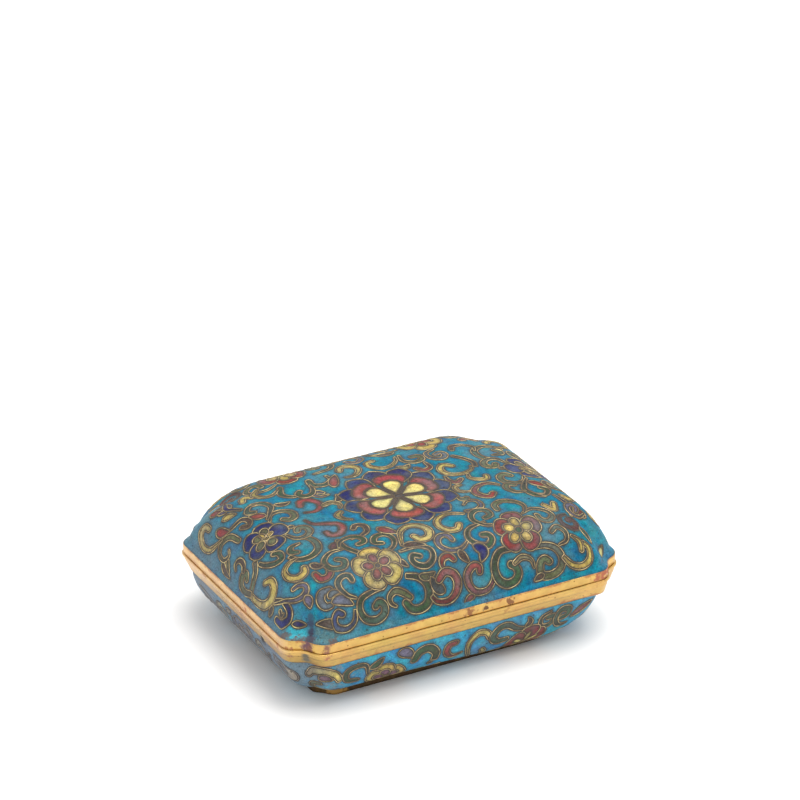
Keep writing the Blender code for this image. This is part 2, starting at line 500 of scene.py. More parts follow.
def front_strip():
    """What grows along the front edge of the lid, from left to right."""
    return [
        *stem("brown", 1.4, (-58.2, -20.4), (-56, -22.6), (-54.6, -26)),
        *scroll("cobalt", 2.4, (-60.4, -26), (-60.2, -29.5), (-57.5, -32), (-55.1, -30.5), (-54.5, -26.6),
                tail=0.6),
        *scroll("brown", 1.4, (-57.4, -26.4), (-58.2, -28), (-57, -29)),
        *leaf("cobalt", 1.7, (-57.4, -34.2), (-55.3, -36.1), (-52.5, -38.6)),
        *leaf("brown", 1.6, (-57.8, -21.9), (-59.4, -22.1), (-61.4, -21.8)),
        *scroll("lilac", 1.6, (-49.8, -26.6), (-47.6, -26.7), (-45.9, -27.9), (-46.7, -29.7), (-49, -30.4),
                (-52.1, -29.3), (-54.9, -25.6), (-57.2, -22.2), head=0.6),
        *leaf("lilac", 2.4, (-47.6, -30.6), (-47.8, -32.9), (-48.5, -35.2)),
        *scroll("red", 2.1, (-41.3, -26.3), (-40.8, -28.6), (-38.9, -29.4), (-37.3, -28.3), (-36.8, -26.6),
                tail=0.7),
        *scroll("grey", 2.6, (-40.6, -33.8), (-43, -33.4), (-44.4, -35.8), (-43.6, -38.4), (-41.2, -38.9),
                tail=0.6),
        *leaf("lilac", 2.6, (-41.6, -38.2), (-38.2, -38.6), (-34.6, -41)),
        *leaf("grey", 1.9, (-41.8, -36.6), (-40, -35.4), (-37.8, -36.4)),
        *scroll("dark_green", 1.7, (-33, -34), (-33.4, -32.2), (-35.2, -31.6), (-37.2, -33), (-37.4, -35.6),
                (-35.8, -38), (-33.3, -39.4)),
        *leaf("brown", 2.3, (-40.5, -45.8), (-44.5, -43.9), (-49, -41.3)),
        *scroll("cobalt", 2.1, (-38.8, -42.7), (-40.6, -42), (-42, -43.8), (-41, -46.2), (-38, -47.1),
                (-35.4, -45.5), (-34.6, -42.3)),
        *scroll("green", 2.1, (-28.3, -43), (-26.9, -42), (-25.6, -43.4), (-26, -45.6), (-28.6, -46.9),
                (-31.8, -45.9), (-33.2, -43), (-32, -40), (-28, -38.7), (-24.5, -38.5)),
        *scroll("olive", 1.9, (-17.2, -43), (-19, -41.3), (-21.3, -40.2), (-23.4, -41.5), (-23.3, -43.4),
                (-21.8, -44.6)),
        *scroll("green", 2.3, (-18.8, -44.2), (-17.4, -46.3), (-14.8, -47), (-12.3, -46), (-11.1, -43.4),
                (-11.4, -40.4), (-13.5, -38), (-17, -36.8), tail=0.5),
        *leaf("olive", 1.8, (-13, -37.8), (-10.5, -38.6), (-7.7, -37.9)),
        *scroll("dark_green", 1.6, (-10.4, -32.2), (-12.2, -31.4), (-13.2, -32.8), (-12.2, -34.6),
                (-9.5, -35.5), (-6.8, -33.8), (-6.3, -31), (-8.2, -29.3), (-11, -28.7), (-15.5, -29)),
        *leaf("dark", 2.6, (-6.2, -44.2), (-8.2, -42.2), (-9.6, -38.8)),
        *leaf("brown", 1.3, (-17, -31.4), (-16, -33.2), (-15, -34.4)),
        *leaf("brown", 1.8, (-13.6, -27.4), (-10.4, -27.6), (-6.8, -29)),
        *scroll("lilac", 1.6, (1.4, -29.6), (0.8, -27.6), (-1.2, -27.1), (-3, -28.6), (-3, -31),
                (-0.5, -33), (3, -33), (6, -31)),
        *scroll("green", 1.8, (10.7, -30.6), (12.4, -31), (12.8, -32.8), (10.6, -34.4), (7.6, -32.9),
                (6.2, -30.2), (8.2, -27.2), (14, -26)),
        *leaf("cobalt", 2.6, (6.4, -33), (8.8, -35.4), (7.0, -38.6)),
        *leaf("brown", 1.8, (1.6, -33.4), (2.2, -35.4), (3.4, -37.8)),
        *scroll("red", 1.9, (-1, -35.6), (-2, -34.3), (-4, -34.6), (-5, -36.3), (-4.6, -38.8)),
        *scroll("red", 2.3, (-7.3, -40.3), (-5, -38.6), (-2.6, -39.5), (-1.7, -42), (-2.8, -45),
                (-5.5, -46.8), (-9, -46.2), (-10.6, -44.2), tail=0.45),
        *scroll("red", 2.0, (5.8, -41), (5.9, -39.4), (4, -39), (1.8, -41), (1.7, -44), (3.6, -46.4),
                (7, -46.7), (9.4, -44.6), (10.2, -41.7), tail=0.45),
        *leaf("red", 1.5, (3, -47.2), (1.2, -47.7), (-0.6, -49)),
        *scroll("green", 2.3, (16, -41.3), (17.3, -42.3), (17.8, -44.3), (16.3, -46.2), (13.5, -46.5),
                (11.2, -44.6), (10.6, -41.5), (11.6, -38.7), (14, -36.8), (18, -37), tail=0.5),
        *scroll("ochre", 1.5, (17.3, -41.2), (20, -40.1), (22.6, -41.4), (23.2, -44.2)),
        *scroll("olive", 2.2, (28.3, -43.3), (26.8, -42.2), (25.2, -43.4), (25.1, -46.4), (28, -47.4),
                (31.4, -46.1), (32.5, -43), (31.1, -40), (28, -38.4), (24, -38.2), tail=0.5),
        *leaf("brown", 1.6, (26, -46.6), (24, -47.1), (22.4, -47.8)),
        *scroll("yellow", 2.1, (40.8, -40.3), (42.7, -42), (41.9, -45.2), (39, -47.1), (35.5, -46.1),
                (32.8, -42.8), tail=0.5),
        *scroll("yellow", 1.8, (39.4, -42.4), (39.7, -39.8), (37.3, -37.3)),
        *scroll("olive", 1.6, (30.2, -28.2), (30.6, -30.4), (33, -31.1), (35.1, -29), (34, -26.4),
                (30, -24.9), (26, -26.5)),
        *scroll("olive", 1.5, (31.6, -35), (34, -33.9), (36, -36), (35.2, -38.7), (32.4, -39.4)),
        *scroll("maroon", 1.9, (39.6, -31.4), (41.2, -30.4), (42.8, -32), (41.6, -34.4), (38.6, -34.6),
                (36.6, -32.4), (37.4, -29.6), (40.6, -28.4)),
        *leaf("dark_green", 2.2, (43.4, -33.6), (45, -36.6), (45.6, -40)),
        *leaf("red", 2.2, (37.4, -10.4), (39.6, -12.2), (41.8, -14.4)),
        *scroll("lilac", 1.7, (45.4, -26.6), (46.4, -25), (44.8, -23.7), (42.9, -25), (43.2, -27.6),
                (46, -28.8), (49, -27)),
        *leaf("pale_yellow", 2.6, (49.5, -43), (52.5, -40.8), (55, -36.8)),
    ]


def left_side():
    """What grows round the left cobalt flower."""
    return [
        *scroll("yellow", 2.8, (-54.3, -14.3), (-52.6, -16.4), (-53.6, -19.2), (-56.5, -20.3),
                (-59.5, -18.2), (-60.7, -14), (-60.2, -9.6), tail=0.5, head=0.5),
        *stem("olive", 1.9, (-60.4, -9.8), (-57.4, -9.2), (-53.9, -8), (-51.6, -5.2)),
        *scroll("olive", 2.0, (-57.4, -5.4), (-56.2, -4.1), (-57.6, -2.8), (-60, -3.6), (-61, -6.3),
                (-60, -10), tail=0.7),
        *scroll("brown", 1.6, (-56.2, -2.4), (-54.7, -1), (-54.6, 1.5), (-56.5, 2.6), (-58, 1.2)),
        *scroll("green", 1.8, (-46.5, -9.8), (-45.2, -11.5), (-46, -14), (-48.5, -13.1), (-50.6, -10),
                (-51.4, -7.4), tail=0.5),
        *leaf("brown", 1.7, (-58.4, 9.6), (-60.4, 7), (-61.2, 3)),
        *leaf("olive", 1.3, (-56.6, 7), (-58.5, 6.2), (-60.4, 3.9)),
        *scroll("green", 1.8, (-41.2, -15.4), (-42.6, -14.2), (-41.6, -12.3), (-38.5, -12.1)),
        *scroll("green", 1.8, (-37, -9.8), (-35.4, -11), (-34.5, -14), (-35.5, -17.5), (-39, -19.4),
                (-42.5, -18.4), (-44, -15.4), tail=0.6),
        *scroll("yellow", 2.1, (-42.7, -22.4), (-43.6, -24), (-46.5, -24.4), (-48.4, -22.2),
                (-48, -19.1), (-45.5, -17.8), (-42.5, -17.6)),
        *scroll("olive", 1.9, (-36.3, -6.2), (-35.3, -4.7), (-33.3, -5.5), (-33.2, -8), (-35.5, -9.9),
                (-38.4, -9.1), (-39.8, -5.6)),
        *scroll("olive", 1.9, (-36.4, 2.3), (-35, 0.9), (-33, 2), (-32.8, 5), (-35.5, 7.1), (-38.5, 6.6),
                (-40.2, 3.6)),
        *dot("brown", -36.6, -2.9, 0.9),
        *scroll("olive", 1.8, (-50.4, 6.6), (-51.4, 11), (-54.5, 13.1), (-57.6, 12), (-58.1, 9),
                (-56, 7.3), (-54.3, 8.6)),
        *scroll("brown", 1.6, (-47.1, 9.4), (-45.4, 7.7), (-44.2, 9.5), (-45.4, 12.1), (-49, 12.6),
                (-52, 13.5)),
        *scroll("yellow", 2.2, (-54, 22), (-54.5, 24.2), (-57, 24.8), (-59.5, 21.8), (-59.1, 18),
                (-56.5, 15.4), (-53.6, 13.8)),
        *leaf("red", 2.5, (-53.2, 18.2), (-52.2, 15.4), (-50.2, 12.8)),
        *leaf("yellow", 1.9, (-49.6, 18.6), (-47.4, 17.6), (-45.2, 15.8)),
        *leaf("red", 2.3, (-50.8, 25.8), (-49, 24), (-47.2, 22.3)),
        *scroll("cobalt", 1.5, (-45, 25.4), (-46.1, 21.6), (-44.6, 18.5), (-43.2, 16), tail=0.4),
        *scroll("yellow", 1.9, (-41, 20.2), (-39.4, 23), (-36.8, 20.2), tail=0.7),
        *scroll("green", 1.7, (-40, 16), (-37.2, 14.8), (-36, 11.4), (-37.8, 8.2), (-40.2, 5.2)),
        *scroll("green", 1.6, (-41.2, 11.6), (-42.8, 13.2), (-41, 15.6), (-38.6, 15)),
        *cobalt_flower((-44.5, -2)),
    ]


def middle():
    """What grows round the middle flower."""
    return [
        *scroll("rose", 2.1, (-28.9, 6.4), (-27.5, 9), (-25, 8.6), (-23.3, 5.6), (-24.2, 3), (-26.6, 1.5),
                (-29.8, 2.2)),
        *scroll("rose", 2.1, (-29.4, -11.2), (-29, -13.1), (-26.5, -13.6), (-24.2, -11), (-24.4, -8.4),
                (-27, -6.9), (-30.5, -5), (-31.7, -1.6)),
        *scroll("ochre", 1.7, (-22.6, 3.6), (-20, 4.1), (-18.4, 2), (-19.4, -0.5)),
        *scroll("ochre", 1.7, (-20.4, -2.4), (-22.1, -4), (-21.5, -6.5), (-19.4, -8.2)),
        *scroll("brown", 1.6, (-22, -13.2), (-20.4, -11.7), (-18.4, -13), (-19, -16), (-21.5, -17.6),
                (-25.2, -18)),
        *leaf("maroon", 2.2, (-32.2, -20.4), (-30.8, -18.6), (-28.4, -17)),
        *scroll("green", 1.8, (-33.2, -24.6), (-31.7, -26.3), (-33.3, -28.6), (-36.4, -27), (-36.8, -23.4),
                (-33.5, -20.9), (-29.4, -21.3)),
        *stem("green", 1.5, (-28.8, -16.8), (-28.6, -21), (-26.3, -25.4)),
        *leaf("brown", 1.8, (-40.8, -22.2), (-39.2, -24), (-37.2, -24.6)),
        *scroll("green", 1.6, (-18.4, -23.9), (-20.2, -22.8), (-19, -20.4), (-16.5, -19.8), (-14.6, -21.5),
                (-14.7, -24.6), (-17, -27.1), (-21, -27.6)),
        *leaf("red", 2.6, (-15.6, -15.8), (-14.2, -18.4), (-11.8, -21.4)),
        *scroll("yellow", 2.2, (-8.4, -24.6), (-7.2, -26.6), (-4.3, -26.1), (-3.1, -23), (-5, -19.9),
                (-8, -19.2), (-11, -21), (-12.5, -24), (-13.6, -27.2)),
        *scroll("yellow", 1.9, (6.5, -24.3), (5, -26.1), (2.2, -25.6), (0.7, -23), (1.5, -20.2), (4, -18.4),
                (7, -18.2), (10.6, -20.2)),
        *scroll("lilac", 1.5, (12, -19.2), (15, -19.6), (17.4, -18), (17.4, -15), (15, -13.9),
                (12.8, -15.6)),
        *scroll("green", 1.7, (15, -24.5), (17.1, -23.7), (17, -21), (14.5, -19.9), (12, -21.5),
                (11.2, -24.5), (13.5, -27.4), (17, -28.4)),
        *scroll("olive", 1.7, (20.4, -22), (21, -19.4), (24, -18.2), (27.6, -20), (28.9, -23), (27, -26.4)),
        *scroll("yellow", 1.8, (22.1, 7.6), (20, 9.4), (18, 7.6), (18, 4.5), (20, 2.4), (23, 1.9),
                (26, 3), (27.2, 5.4)),
        *scroll("yellow", 1.6, (27.9, -2.4), (27, -4.2), (24.8, -3.6), (22.9, -1.6), (23.7, 1.1)),
        *scroll("yellow", 1.4, (17.9, -4.1), (16.1, -4.7), (15.8, -6.9), (17, -8.4), (19.4, -9.2)),
        *scroll("red", 2.0, (24.3, -12.9), (22.4, -14.4), (20.2, -12.5), (19.9, -9.5), (22.5, -7.1),
                (25.8, -6.9), (28.6, -9.4)),
        *scroll("red", 1.6, (20.2, -1), (18, -2.3), (16.7, 0), (17, 2.8)),
        *scroll("green", 1.7, (-28.4, 20.4), (-30.1, 16), (-28, 12.9), (-24.8, 12.4)),
        *scroll("green", 1.9, (-19.4, 19.6), (-19.6, 16.4), (-16.5, 14.9), (-13.4, 17), (-13.5, 20.2)),
        *leaf("red", 2.4, (-14.7, 12.2), (-13.2, 15.6), (-10.8, 19.3)),
        *scroll("yellow", 2.0, (-8.6, 20.8), (-7.5, 22.6), (-5.5, 23.1), (-3.2, 21), (-3.4, 18.4),
                (-6, 15.9), (-9.2, 16.1)),
        *scroll("yellow", 1.6, (3.1, 22.1), (1, 21.6), (0.7, 19), (3, 16.4), (6, 16.2), (9, 18.4),
                (10.2, 21.2)),
        *scroll("lilac", 1.6, (-19.4, 10.6), (-20.6, 12), (-22.2, 10.8), (-21, 8.8), (-18.2, 8.8)),
        *scroll("red", 1.7, (12, 11.2), (13.5, 9.2), (16, 10), (16.1, 13.8)),
        *scroll("grey", 1.8, (21.6, 16.8), (23.4, 17.4), (24, 15.4), (22, 13.5), (19.3, 15.2), (19.4, 18.8),
                (23, 20.6)),
        *scroll("olive", 1.7, (14.4, 18.6), (16.6, 18.2), (16.4, 15.8), (13.4, 15.2), (11, 17.6),
                (11.6, 21.6)),
        *scroll("brown", 1.5, (27.4, 17.4), (29, 20), (32.4, 19.8), (34.4, 17), (33.4, 14)),
        *stem("brown", 1.3, (25.6, 13.4), (27.6, 10.4), (28.8, 7), (28, 4)),
        *leaf("ochre", 1.8, (7.2, 14.8), (9.2, 13.2), (11.6, 14.6)),
        *scroll("ochre", 1.7, (-34.2, 24.4), (-36.4, 22), (-35.4, 18.6), (-32.4, 17.6), (-29.4, 19.6)),
        *scroll("green", 1.8, (-24.8, 14.8), (-26, 13.2), (-25, 11.2), (-22.4, 11.6), (-20.8, 14),
                (-20.4, 17)),
        *leaf("brown", 1.6, (-34.8, 11.6), (-32.4, 10.2), (-30, 10.6)),
        *scroll("green", 1.7, (-24.6, -21.4), (-22.6, -20.8), (-22.4, -18.6), (-25, -16.8), (-28.6, -17.6),
                (-30.2, -20.2)),
        *scroll("olive", 1.7, (32.4, -11), (30.6, -10), (29.4, -12.2), (31, -15), (34, -15.4)),
        *leaf("brown", 1.6, (-18.4, 3.6), (-16.6, 5.4), (-16.4, 8)),
        *leaf("olive", 1.7, (16.6, -11.6), (14.6, -12.6), (13.4, -10.4)),
        *hub_flower(),
    ]


def lid_cells():
    """Every cell of the lid. The far side repeats the front, turned about the middle."""
    front = front_strip()
    side = left_side()
    flowers = [*yellow_flower((-23.8, -31.7)), *red_flower((22.0, -32.0))]
    return turned(front + side + flowers, HUB) + front + side + middle() + flowers


# The bowl's pattern, on the strip: along it from the middle of the front, and down it

def bowl_flower(centre, colour, core, core_width=1.2):
    """A six-petalled flower of the bowl."""
    angles = (200, 262, 322, 28, 90, 152)
    cells = []
    for angle in angles:
        cells += petal(colour, centre, angle, 0.8, 7.2, 3.4, 0.42, 1.3)
    for angle in angles:
        cells += petal(core, centre, angle, 1.0, 4.8, core_width)
    return cells + dot("ochre", *centre, 0.9)


def bowl_front():
    """What grows along the front of the bowl, from left to right."""
    return [
        *scroll("worn_yellow", 2.3, (-50.6, -3.8), (-48.8, -2.2), (-45, -1.8), (-41.6, -3.4), (-40, -6.6),
                tail=0.8),
        *leaf("mauve", 2.2, (-47, -4.9), (-44.6, -4.3), (-42.4, -5.4)),
        *scroll("green", 1.8, (-35, -8.2), (-38, -7.4), (-38, -4), (-35, -2.4), (-31.6, -3.1), (-31.2, -7)),
        *leaf("green", 1.9, (-30.6, -4.6), (-28.4, -3.8), (-26, -1.6)),
        *leaf("lilac", 2.8, (-21.6, -1.5), (-18.6, -2.4), (-16, -5)),
        *scroll("green", 2.5, (-16, -6.4), (-14.4, -3.4), (-11.2, -2.9), (-8.9, -5.4), (-9.2, -8.6),
                tail=0.7),
        *dot("dark", -10.4, -9.6, 0.8),
        *scroll("red", 2.0, (-2.6, -3.4), (-4.8, -4), (-5.1, -6.8), (-2.9, -9), (0.4, -8.2)),
        *scroll("yellow", 1.8, (9, -5), (7.6, -2.9), (4.8, -2.2), (2.2, -4.8), (2.4, -8.6), (4.4, -13)),
        *scroll("yellow", 1.6, (7.6, -9.4), (9.2, -12), (8, -14.6)),
        *scroll("green", 2.1, (15, -7.4), (12, -7.4), (10, -5.2), (11.6, -2.5), (14.6, -2.2), (17.4, -4),
                (20.4, -5), tail=0.5),
        *leaf("brown", 1.4, (20.6, -4.6), (22, -3), (21.2, -1.2)),
        *scroll("green", 1.7, (28, -3.2), (30.4, -3.4), (29.6, -6), (26.4, -5.8), (25.8, -2.8), (29, -1.4)),
        *scroll("green", 1.9, (33.4, -4.8), (35.6, -4.4), (35.2, -2.2), (32.4, -2), (31.4, -4.8),
                (34, -7.6), (38, -8.2)),
        *leaf("red", 2.3, (37.6, -5.6), (40.2, -4), (43.4, -1.4)),
        *leaf("ochre", 1.9, (44.4, -8.6), (48, -6.2), (52.6, -5.6)),
        *scroll("olive", 1.6, (-47, -7), (-50.4, -8), (-50, -11.6), (-46, -12.6), (-42, -11.6)),
        *scroll("olive", 1.5, (39, -12.6), (43, -12.8), (46, -10.6), (44.6, -8.8)),
        *stem("olive", 1.2, (-20, -13.8), (-13, -14.4), (-6, -12.6)),
        *stem("olive", 1.2, (-34, -14.4), (-38, -14), (-42, -14.6)),
        *stem("olive", 1.2, (12.6, -14.2), (15.4, -13), (18.4, -13.2)),
        *stem("olive", 1.2, (27.6, -13.4), (32, -14.2), (37, -12.4)),
        *bowl_flower((-25.6, -11.6), "yellow", "mauve", 1.8),
        *bowl_flower((23.2, -11.6), "red", "pale_yellow", 0.9),
    ]


def bowl_end():
    """What grows along each end of the bowl, about the middle of that end."""
    return [
        *bowl_flower((0, -8.4), "cobalt", "lilac"),
        *scroll("yellow", 1.8, (-10, -5.4), (-12.4, -3.2), (-15, -5), (-14, -8.6), (-10, -10), (-7, -8.4)),
        *scroll("yellow", 1.8, (10, -5.4), (12.4, -3.2), (15, -5), (14, -8.6), (10, -10), (7, -8.4)),
        *scroll("green", 1.7, (-20, -10.6), (-17.6, -9), (-17.4, -6), (-19.4, -3.4)),
        *leaf("sand", 2.4, (26.4, -3.6), (21, -5.6), (15.4, -8)),
        *scroll("sand", 4.4, (-30.8, -5.2), (-28.6, -4.7), (-25.6, -4.1), (-22, -3.2), tail=0.4, head=0.95),
        *leaf("grey", 1.7, (-29.4, -5), (-27, -4.4), (-24, -3.7)),
        *scroll("red", 1.8, (24.6, -8.2), (27.4, -8.6), (28, -12), (24, -13.6), (19, -13.4)),
        *leaf("ochre", 1.6, (-8.6, -3.4), (-6.6, -2.4), (-4.6, -1.4)),
        *leaf("ochre", 1.6, (8.6, -3.4), (6.6, -2.4), (4.6, -1.4)),
        *leaf("lilac", 2.0, (31, -5), (33, -7.4), (35.6, -8.4)),
        *stem("olive", 1.2, (-14, -13.4), (-8, -14), (-4, -13.4)),
        *stem("olive", 1.2, (14, -13.4), (8, -14), (4, -13.4)),
    ]


def bowl_cells(shell):
    """Every cell of the bowl. The back repeats the front, and one end the other."""
    front = bowl_front()
    end = bowl_end()
    middle_of_end = shell.side_x + shell.corner + shell.side_y
    cells = front + shifted(end, (middle_of_end, 0)) + shifted(end, (-middle_of_end, 0), flip=-1)
    left_part = [one for one in front if one["outline"][:, 0].max() < 0.5]
    right_part = [one for one in front if one["outline"][:, 0].max() >= 0.5
                  and one["outline"][:, 0].min() > 0]
    cells += shifted(left_part, (shell.half_round, 0))
    return cells + shifted(right_part, (-shell.half_round, 0))


# From a plan to meshes

def inside(points, polygon):
    """Which points the polygon goes round."""
    x, y = points.T
    winding = np.zeros(len(points), int)
    for (x0, y0), (x1, y1) in zip(polygon, np.roll(polygon, -1, axis=0)):
        side = (x1 - x0) * (y - y0) - (x - x0) * (y1 - y0)
        winding += (y0 <= y) & (y < y1) & (side > 0)
        winding -= (y1 <= y) & (y < y0) & (side < 0)
    return winding != 0


def inside_cell(points, one):
    """Which points lie in a cell, tested only near it."""
    low = one["outline"].min(axis=0)
    high = one["outline"].max(axis=0)
    near = np.flatnonzero(((points > low) & (points < high)).all(axis=1))
    found = np.zeros(len(points), bool)
    found[near] = inside(points[near], one["outline"])
    return found


def wire_lines(cells):
    """The points and edges of every cell's outline that no later cell covers."""
    points = np.vstack([one["outline"] for one in cells])
    starts = np.cumsum([0] + [len(one["outline"]) for one in cells])
    shown = np.ones(len(points), bool)
    for place, one in enumerate(cells[1:], 1):
        before = points[:starts[place]]
        shown[:starts[place]] &= ~inside_cell(before, one)
    edges = []
    for place, one in enumerate(cells):
        count = len(one["outline"])
        for step in range(count):
            pair = (starts[place] + step, starts[place] + (step + 1) % count)
            if shown[pair[0]] and shown[pair[1]]:
                edges.append(pair)
    return points, edges


def nearness(points, lines):
    """The gap from each point to the nearest point of the lines."""
    tree = kdtree.KDTree(len(lines))
    for place, (x, y) in enumerate(lines):
        tree.insert((x, y, 0), place)
    tree.balance()
    return np.array([tree.find((x, y, 0))[2] for x, y in points])


def enamel_piece(name, shell, cells, ground):
    """The shell's outside, cut along its cells, with each cell's colour at its corners."""
    edge = shell.plan_outline()
    lines, shown = wire_lines(cells)
    low = edge.min(axis=0)
    high = edge.max(axis=0)
    columns = np.arange(low[0] + ENAMEL_GRID / 2, high[0], ENAMEL_GRID)
    rows = np.arange(low[1] + ENAMEL_GRID / 2, high[1], ENAMEL_GRID)
    grid = np.stack(np.meshgrid(columns, rows), axis=-1).reshape(-1, 2)
    grid[::2, 1] += ENAMEL_GRID * 0.1
    grid = grid[inside(grid, edge)]
    grid = grid[nearness(grid, np.vstack([lines, edge])) > WIRE_CLEARANCE]
    loops = [edge] + [one["outline"] for one in cells]
    points = np.vstack(loops + [grid])
    edges = []
    start = 0
    for loop in loops:
        count = len(loop)
        edges += [(start + step, start + (step + 1) % count) for step in range(count)]
        start += count
    flat = [Vector(point) for point in points]
    flat, _, faces, *_ = delaunay_2d_cdt(flat, edges, [], 0, 1e-5, False)
    points = np.array([tuple(point) for point in flat])
    faces = np.array([face for face in faces if len(face) == 3])
    middles = points[faces].mean(axis=1)
    kept = inside(middles, edge)
    faces = faces[kept]
    middles = middles[kept]
    owners = np.full(len(faces), -1)
    for place, one in enumerate(cells):
        owners[inside_cell(middles, one)] = place
    colours = np.empty((len(faces), 3, 4), np.float32)
    colours[:, :, :3] = ground
    colours[:, :, 3] = 0
    for place, one in enumerate(cells):
        mine = np.flatnonzero(owners == place)
        if not len(mine):
            continue
        corners = points[faces[mine]].reshape(-1, 2)
        gaps = np.linalg.norm(corners[:, None] - one["spine"][None], axis=2)
        share = gaps.argmin(axis=1) / max(1, len(one["spine"]) - 1)
        first, second = (np.array(shade) for shade in ENAMELS[one["colour"]])
        colours[mine, :, :3] = between(first, second, share[:, None]).reshape(-1, 3, 3)
        colours[mine, :, 3] = 1
    near = np.clip(1 - nearness(points, lines[np.unique(shown)]) / DARK_EDGE_REACH, 0, 1)
    mesh = bpy.data.meshes.new(name)
    mesh.from_pydata((shell.on_surface(points) * MM).tolist(), [], faces.tolist())
    colour_enamel(mesh, colours.ravel(), near)
    mesh.shade_smooth()
    return added(name, mesh)


def colour_enamel(mesh, colours, near):
    """The cells' colours at a mesh's corners, and how near a wire each of its points is."""
    attribute = mesh.color_attributes.new("cell_colour", "FLOAT_COLOR", "CORNER")
    attribute.data.foreach_set("color", colours)
    attribute = mesh.attributes.new("near_wire", "FLOAT", "POINT")
    attribute.data.foreach_set("value", near.astype(np.float32))


def added(name, data):
    """A new object in the scene, with its place left in its mesh."""
    piece = bpy.data.objects.new(name, data)
    bpy.context.scene.collection.objects.link(piece)
    return piece


def wire_tree():
    """The node tree that grows gilt wires, each on its dark bed, from a mesh's edges."""
    tree = bpy.data.node_groups.new("wire_net", "GeometryNodeTree")
    inputs = (
        ("Geometry", "Geometry"), ("Wire Radius", "Float"), ("Bed Width", "Float"),
        ("Bed Height", "Float"), ("Unevenness", "Float"), ("Seed", "Float"),
        ("Wire Material", "Material"), ("Bed Material", "Material"),
    )
    for name, kind in inputs:
        tree.interface.new_socket(name, in_out="INPUT", socket_type="NodeSocket" + kind)
    tree.interface.new_socket("Geometry", in_out="OUTPUT", socket_type="NodeSocketGeometry")
    graph = Graph(tree, "GeometryNode")
    given = tree.nodes.new("NodeGroupInput").outputs
    outward = graph.node("InputNamedAttribute", {"Name": "outward"}, data_type="FLOAT_VECTOR")
    curves = graph.node("MeshToCurve", {"Mesh": given["Geometry"]})
    curves = graph.node("SetCurveNormal", {"Curve": curves.outputs[0]}, mode="FREE")
    tree.links.new(outward.outputs["Attribute"], curves.inputs["Normal"])
    sums = Graph(tree)
    noise = sums.node(
        "TexNoise", {"Scale": 700.0, "Detail": 1.0, "W": given["Seed"]}, noise_dimensions="4D")
    lowest = sums.math("SUBTRACT", 1.0, given["Unevenness"])
    highest = sums.math("ADD", 1.0, given["Unevenness"])
    girth = sums.ramp(noise.outputs[0], 0.3, 0.7, lowest, highest)
    browned = graph.node("InputNamedAttribute", {"Name": "browned"}, data_type="FLOAT")
    thinner = sums.math("MULTIPLY_ADD", browned.outputs["Attribute"], -0.35, 1.0)
    girth = sums.math("MULTIPLY", girth, thinner)
    arch = graph.node("CurveArc", {
        "Resolution": 6, "Radius": given["Wire Radius"], "Start Angle": -math.pi / 2,
        "Sweep Angle": math.pi}, mode="RADIUS")
    wires = graph.node("CurveToMesh", {
        "Curve": curves.outputs[0], "Profile Curve": arch.outputs[0], "Scale": girth})
    wires = graph.node("SetMaterial", {
        "Geometry": wires.outputs[0], "Material": given["Wire Material"]})
    left = sums.profile_place(given["Bed Height"], given["Bed Width"], 0.5)
    right = sums.profile_place(given["Bed Height"], given["Bed Width"], -0.5)
    line = graph.node("CurvePrimitiveLine", {"Start": left, "End": right})
    beds = graph.node("CurveToMesh", {
        "Curve": curves.outputs[0], "Profile Curve": line.outputs[0], "Scale": girth})
    beds = graph.node("SetMaterial", {
        "Geometry": beds.outputs[0], "Material": given["Bed Material"]})
    both = graph.node("JoinGeometry")
    tree.links.new(wires.outputs[0], both.inputs[0])
    tree.links.new(beds.outputs[0], both.inputs[0])
    flat = graph.node("SetShadeSmooth", {"Geometry": both.outputs[0]})
    whole = graph.node("RealizeInstances", {"Geometry": flat.outputs[0]})
    tree.links.new(whole.outputs[0], tree.nodes.new("NodeGroupOutput").inputs[0])
    return tree


class Graph:
    """A node tree that is built one node at a time, its inputs set or linked by name."""

    def __init__(self, tree, prefix="ShaderNode"):
        self.tree = tree
        self.prefix = prefix

    def node(self, kind, inputs=None, **settings):
        made = self.tree.nodes.new(self.prefix + kind)
        for name, value in settings.items():
            setattr(made, name, value)
        for name, value in (inputs or {}).items():
            if isinstance(value, bpy.types.NodeSocket):
                self.tree.links.new(value, made.inputs[name])
            else:
                made.inputs[name].default_value = value
        return made

    def math(self, operation, *values):
        return self.node("Math", dict(enumerate(values)), operation=operation).outputs[0]

    def mix(self, share, first, second):
        """Two colours, mixed."""
        whole = [value if isinstance(value, bpy.types.NodeSocket) else (*value, 1)
                 for value in (first, second)]
        made = self.node("Mix", {0: share, 6: whole[0], 7: whole[1]}, data_type="RGBA")
        return made.outputs[2]

    def profile_place(self, height, width, share):
        """A place in a profile: its height over the enamel, and its share of a width."""
        half = self.math("MULTIPLY", width, share)
        return self.node("CombineXYZ", {"X": height, "Y": half}).outputs[0]

    def ramp(self, value, low, high, start=0.0, end=1.0):
        """The value's place between two others, as a number from start to end."""
        made = self.node("MapRange", {
            "Value": value, "From Min": low, "From Max": high, "To Min": start, "To Max": end})
        return made.outputs[0]

    def noise(self, vector, scale, detail=3.0, roughness=0.55):
        made = self.node("TexNoise", {
            "Vector": vector, "Scale": scale, "Detail": detail, "Roughness": roughness})
        return made.outputs[0]

    def feed(self, shader, **values):
        """Link values to the shader's own inputs."""
        for name, value in values.items():
            self.tree.links.new(value, shader.inputs[name.replace("_", " ")])


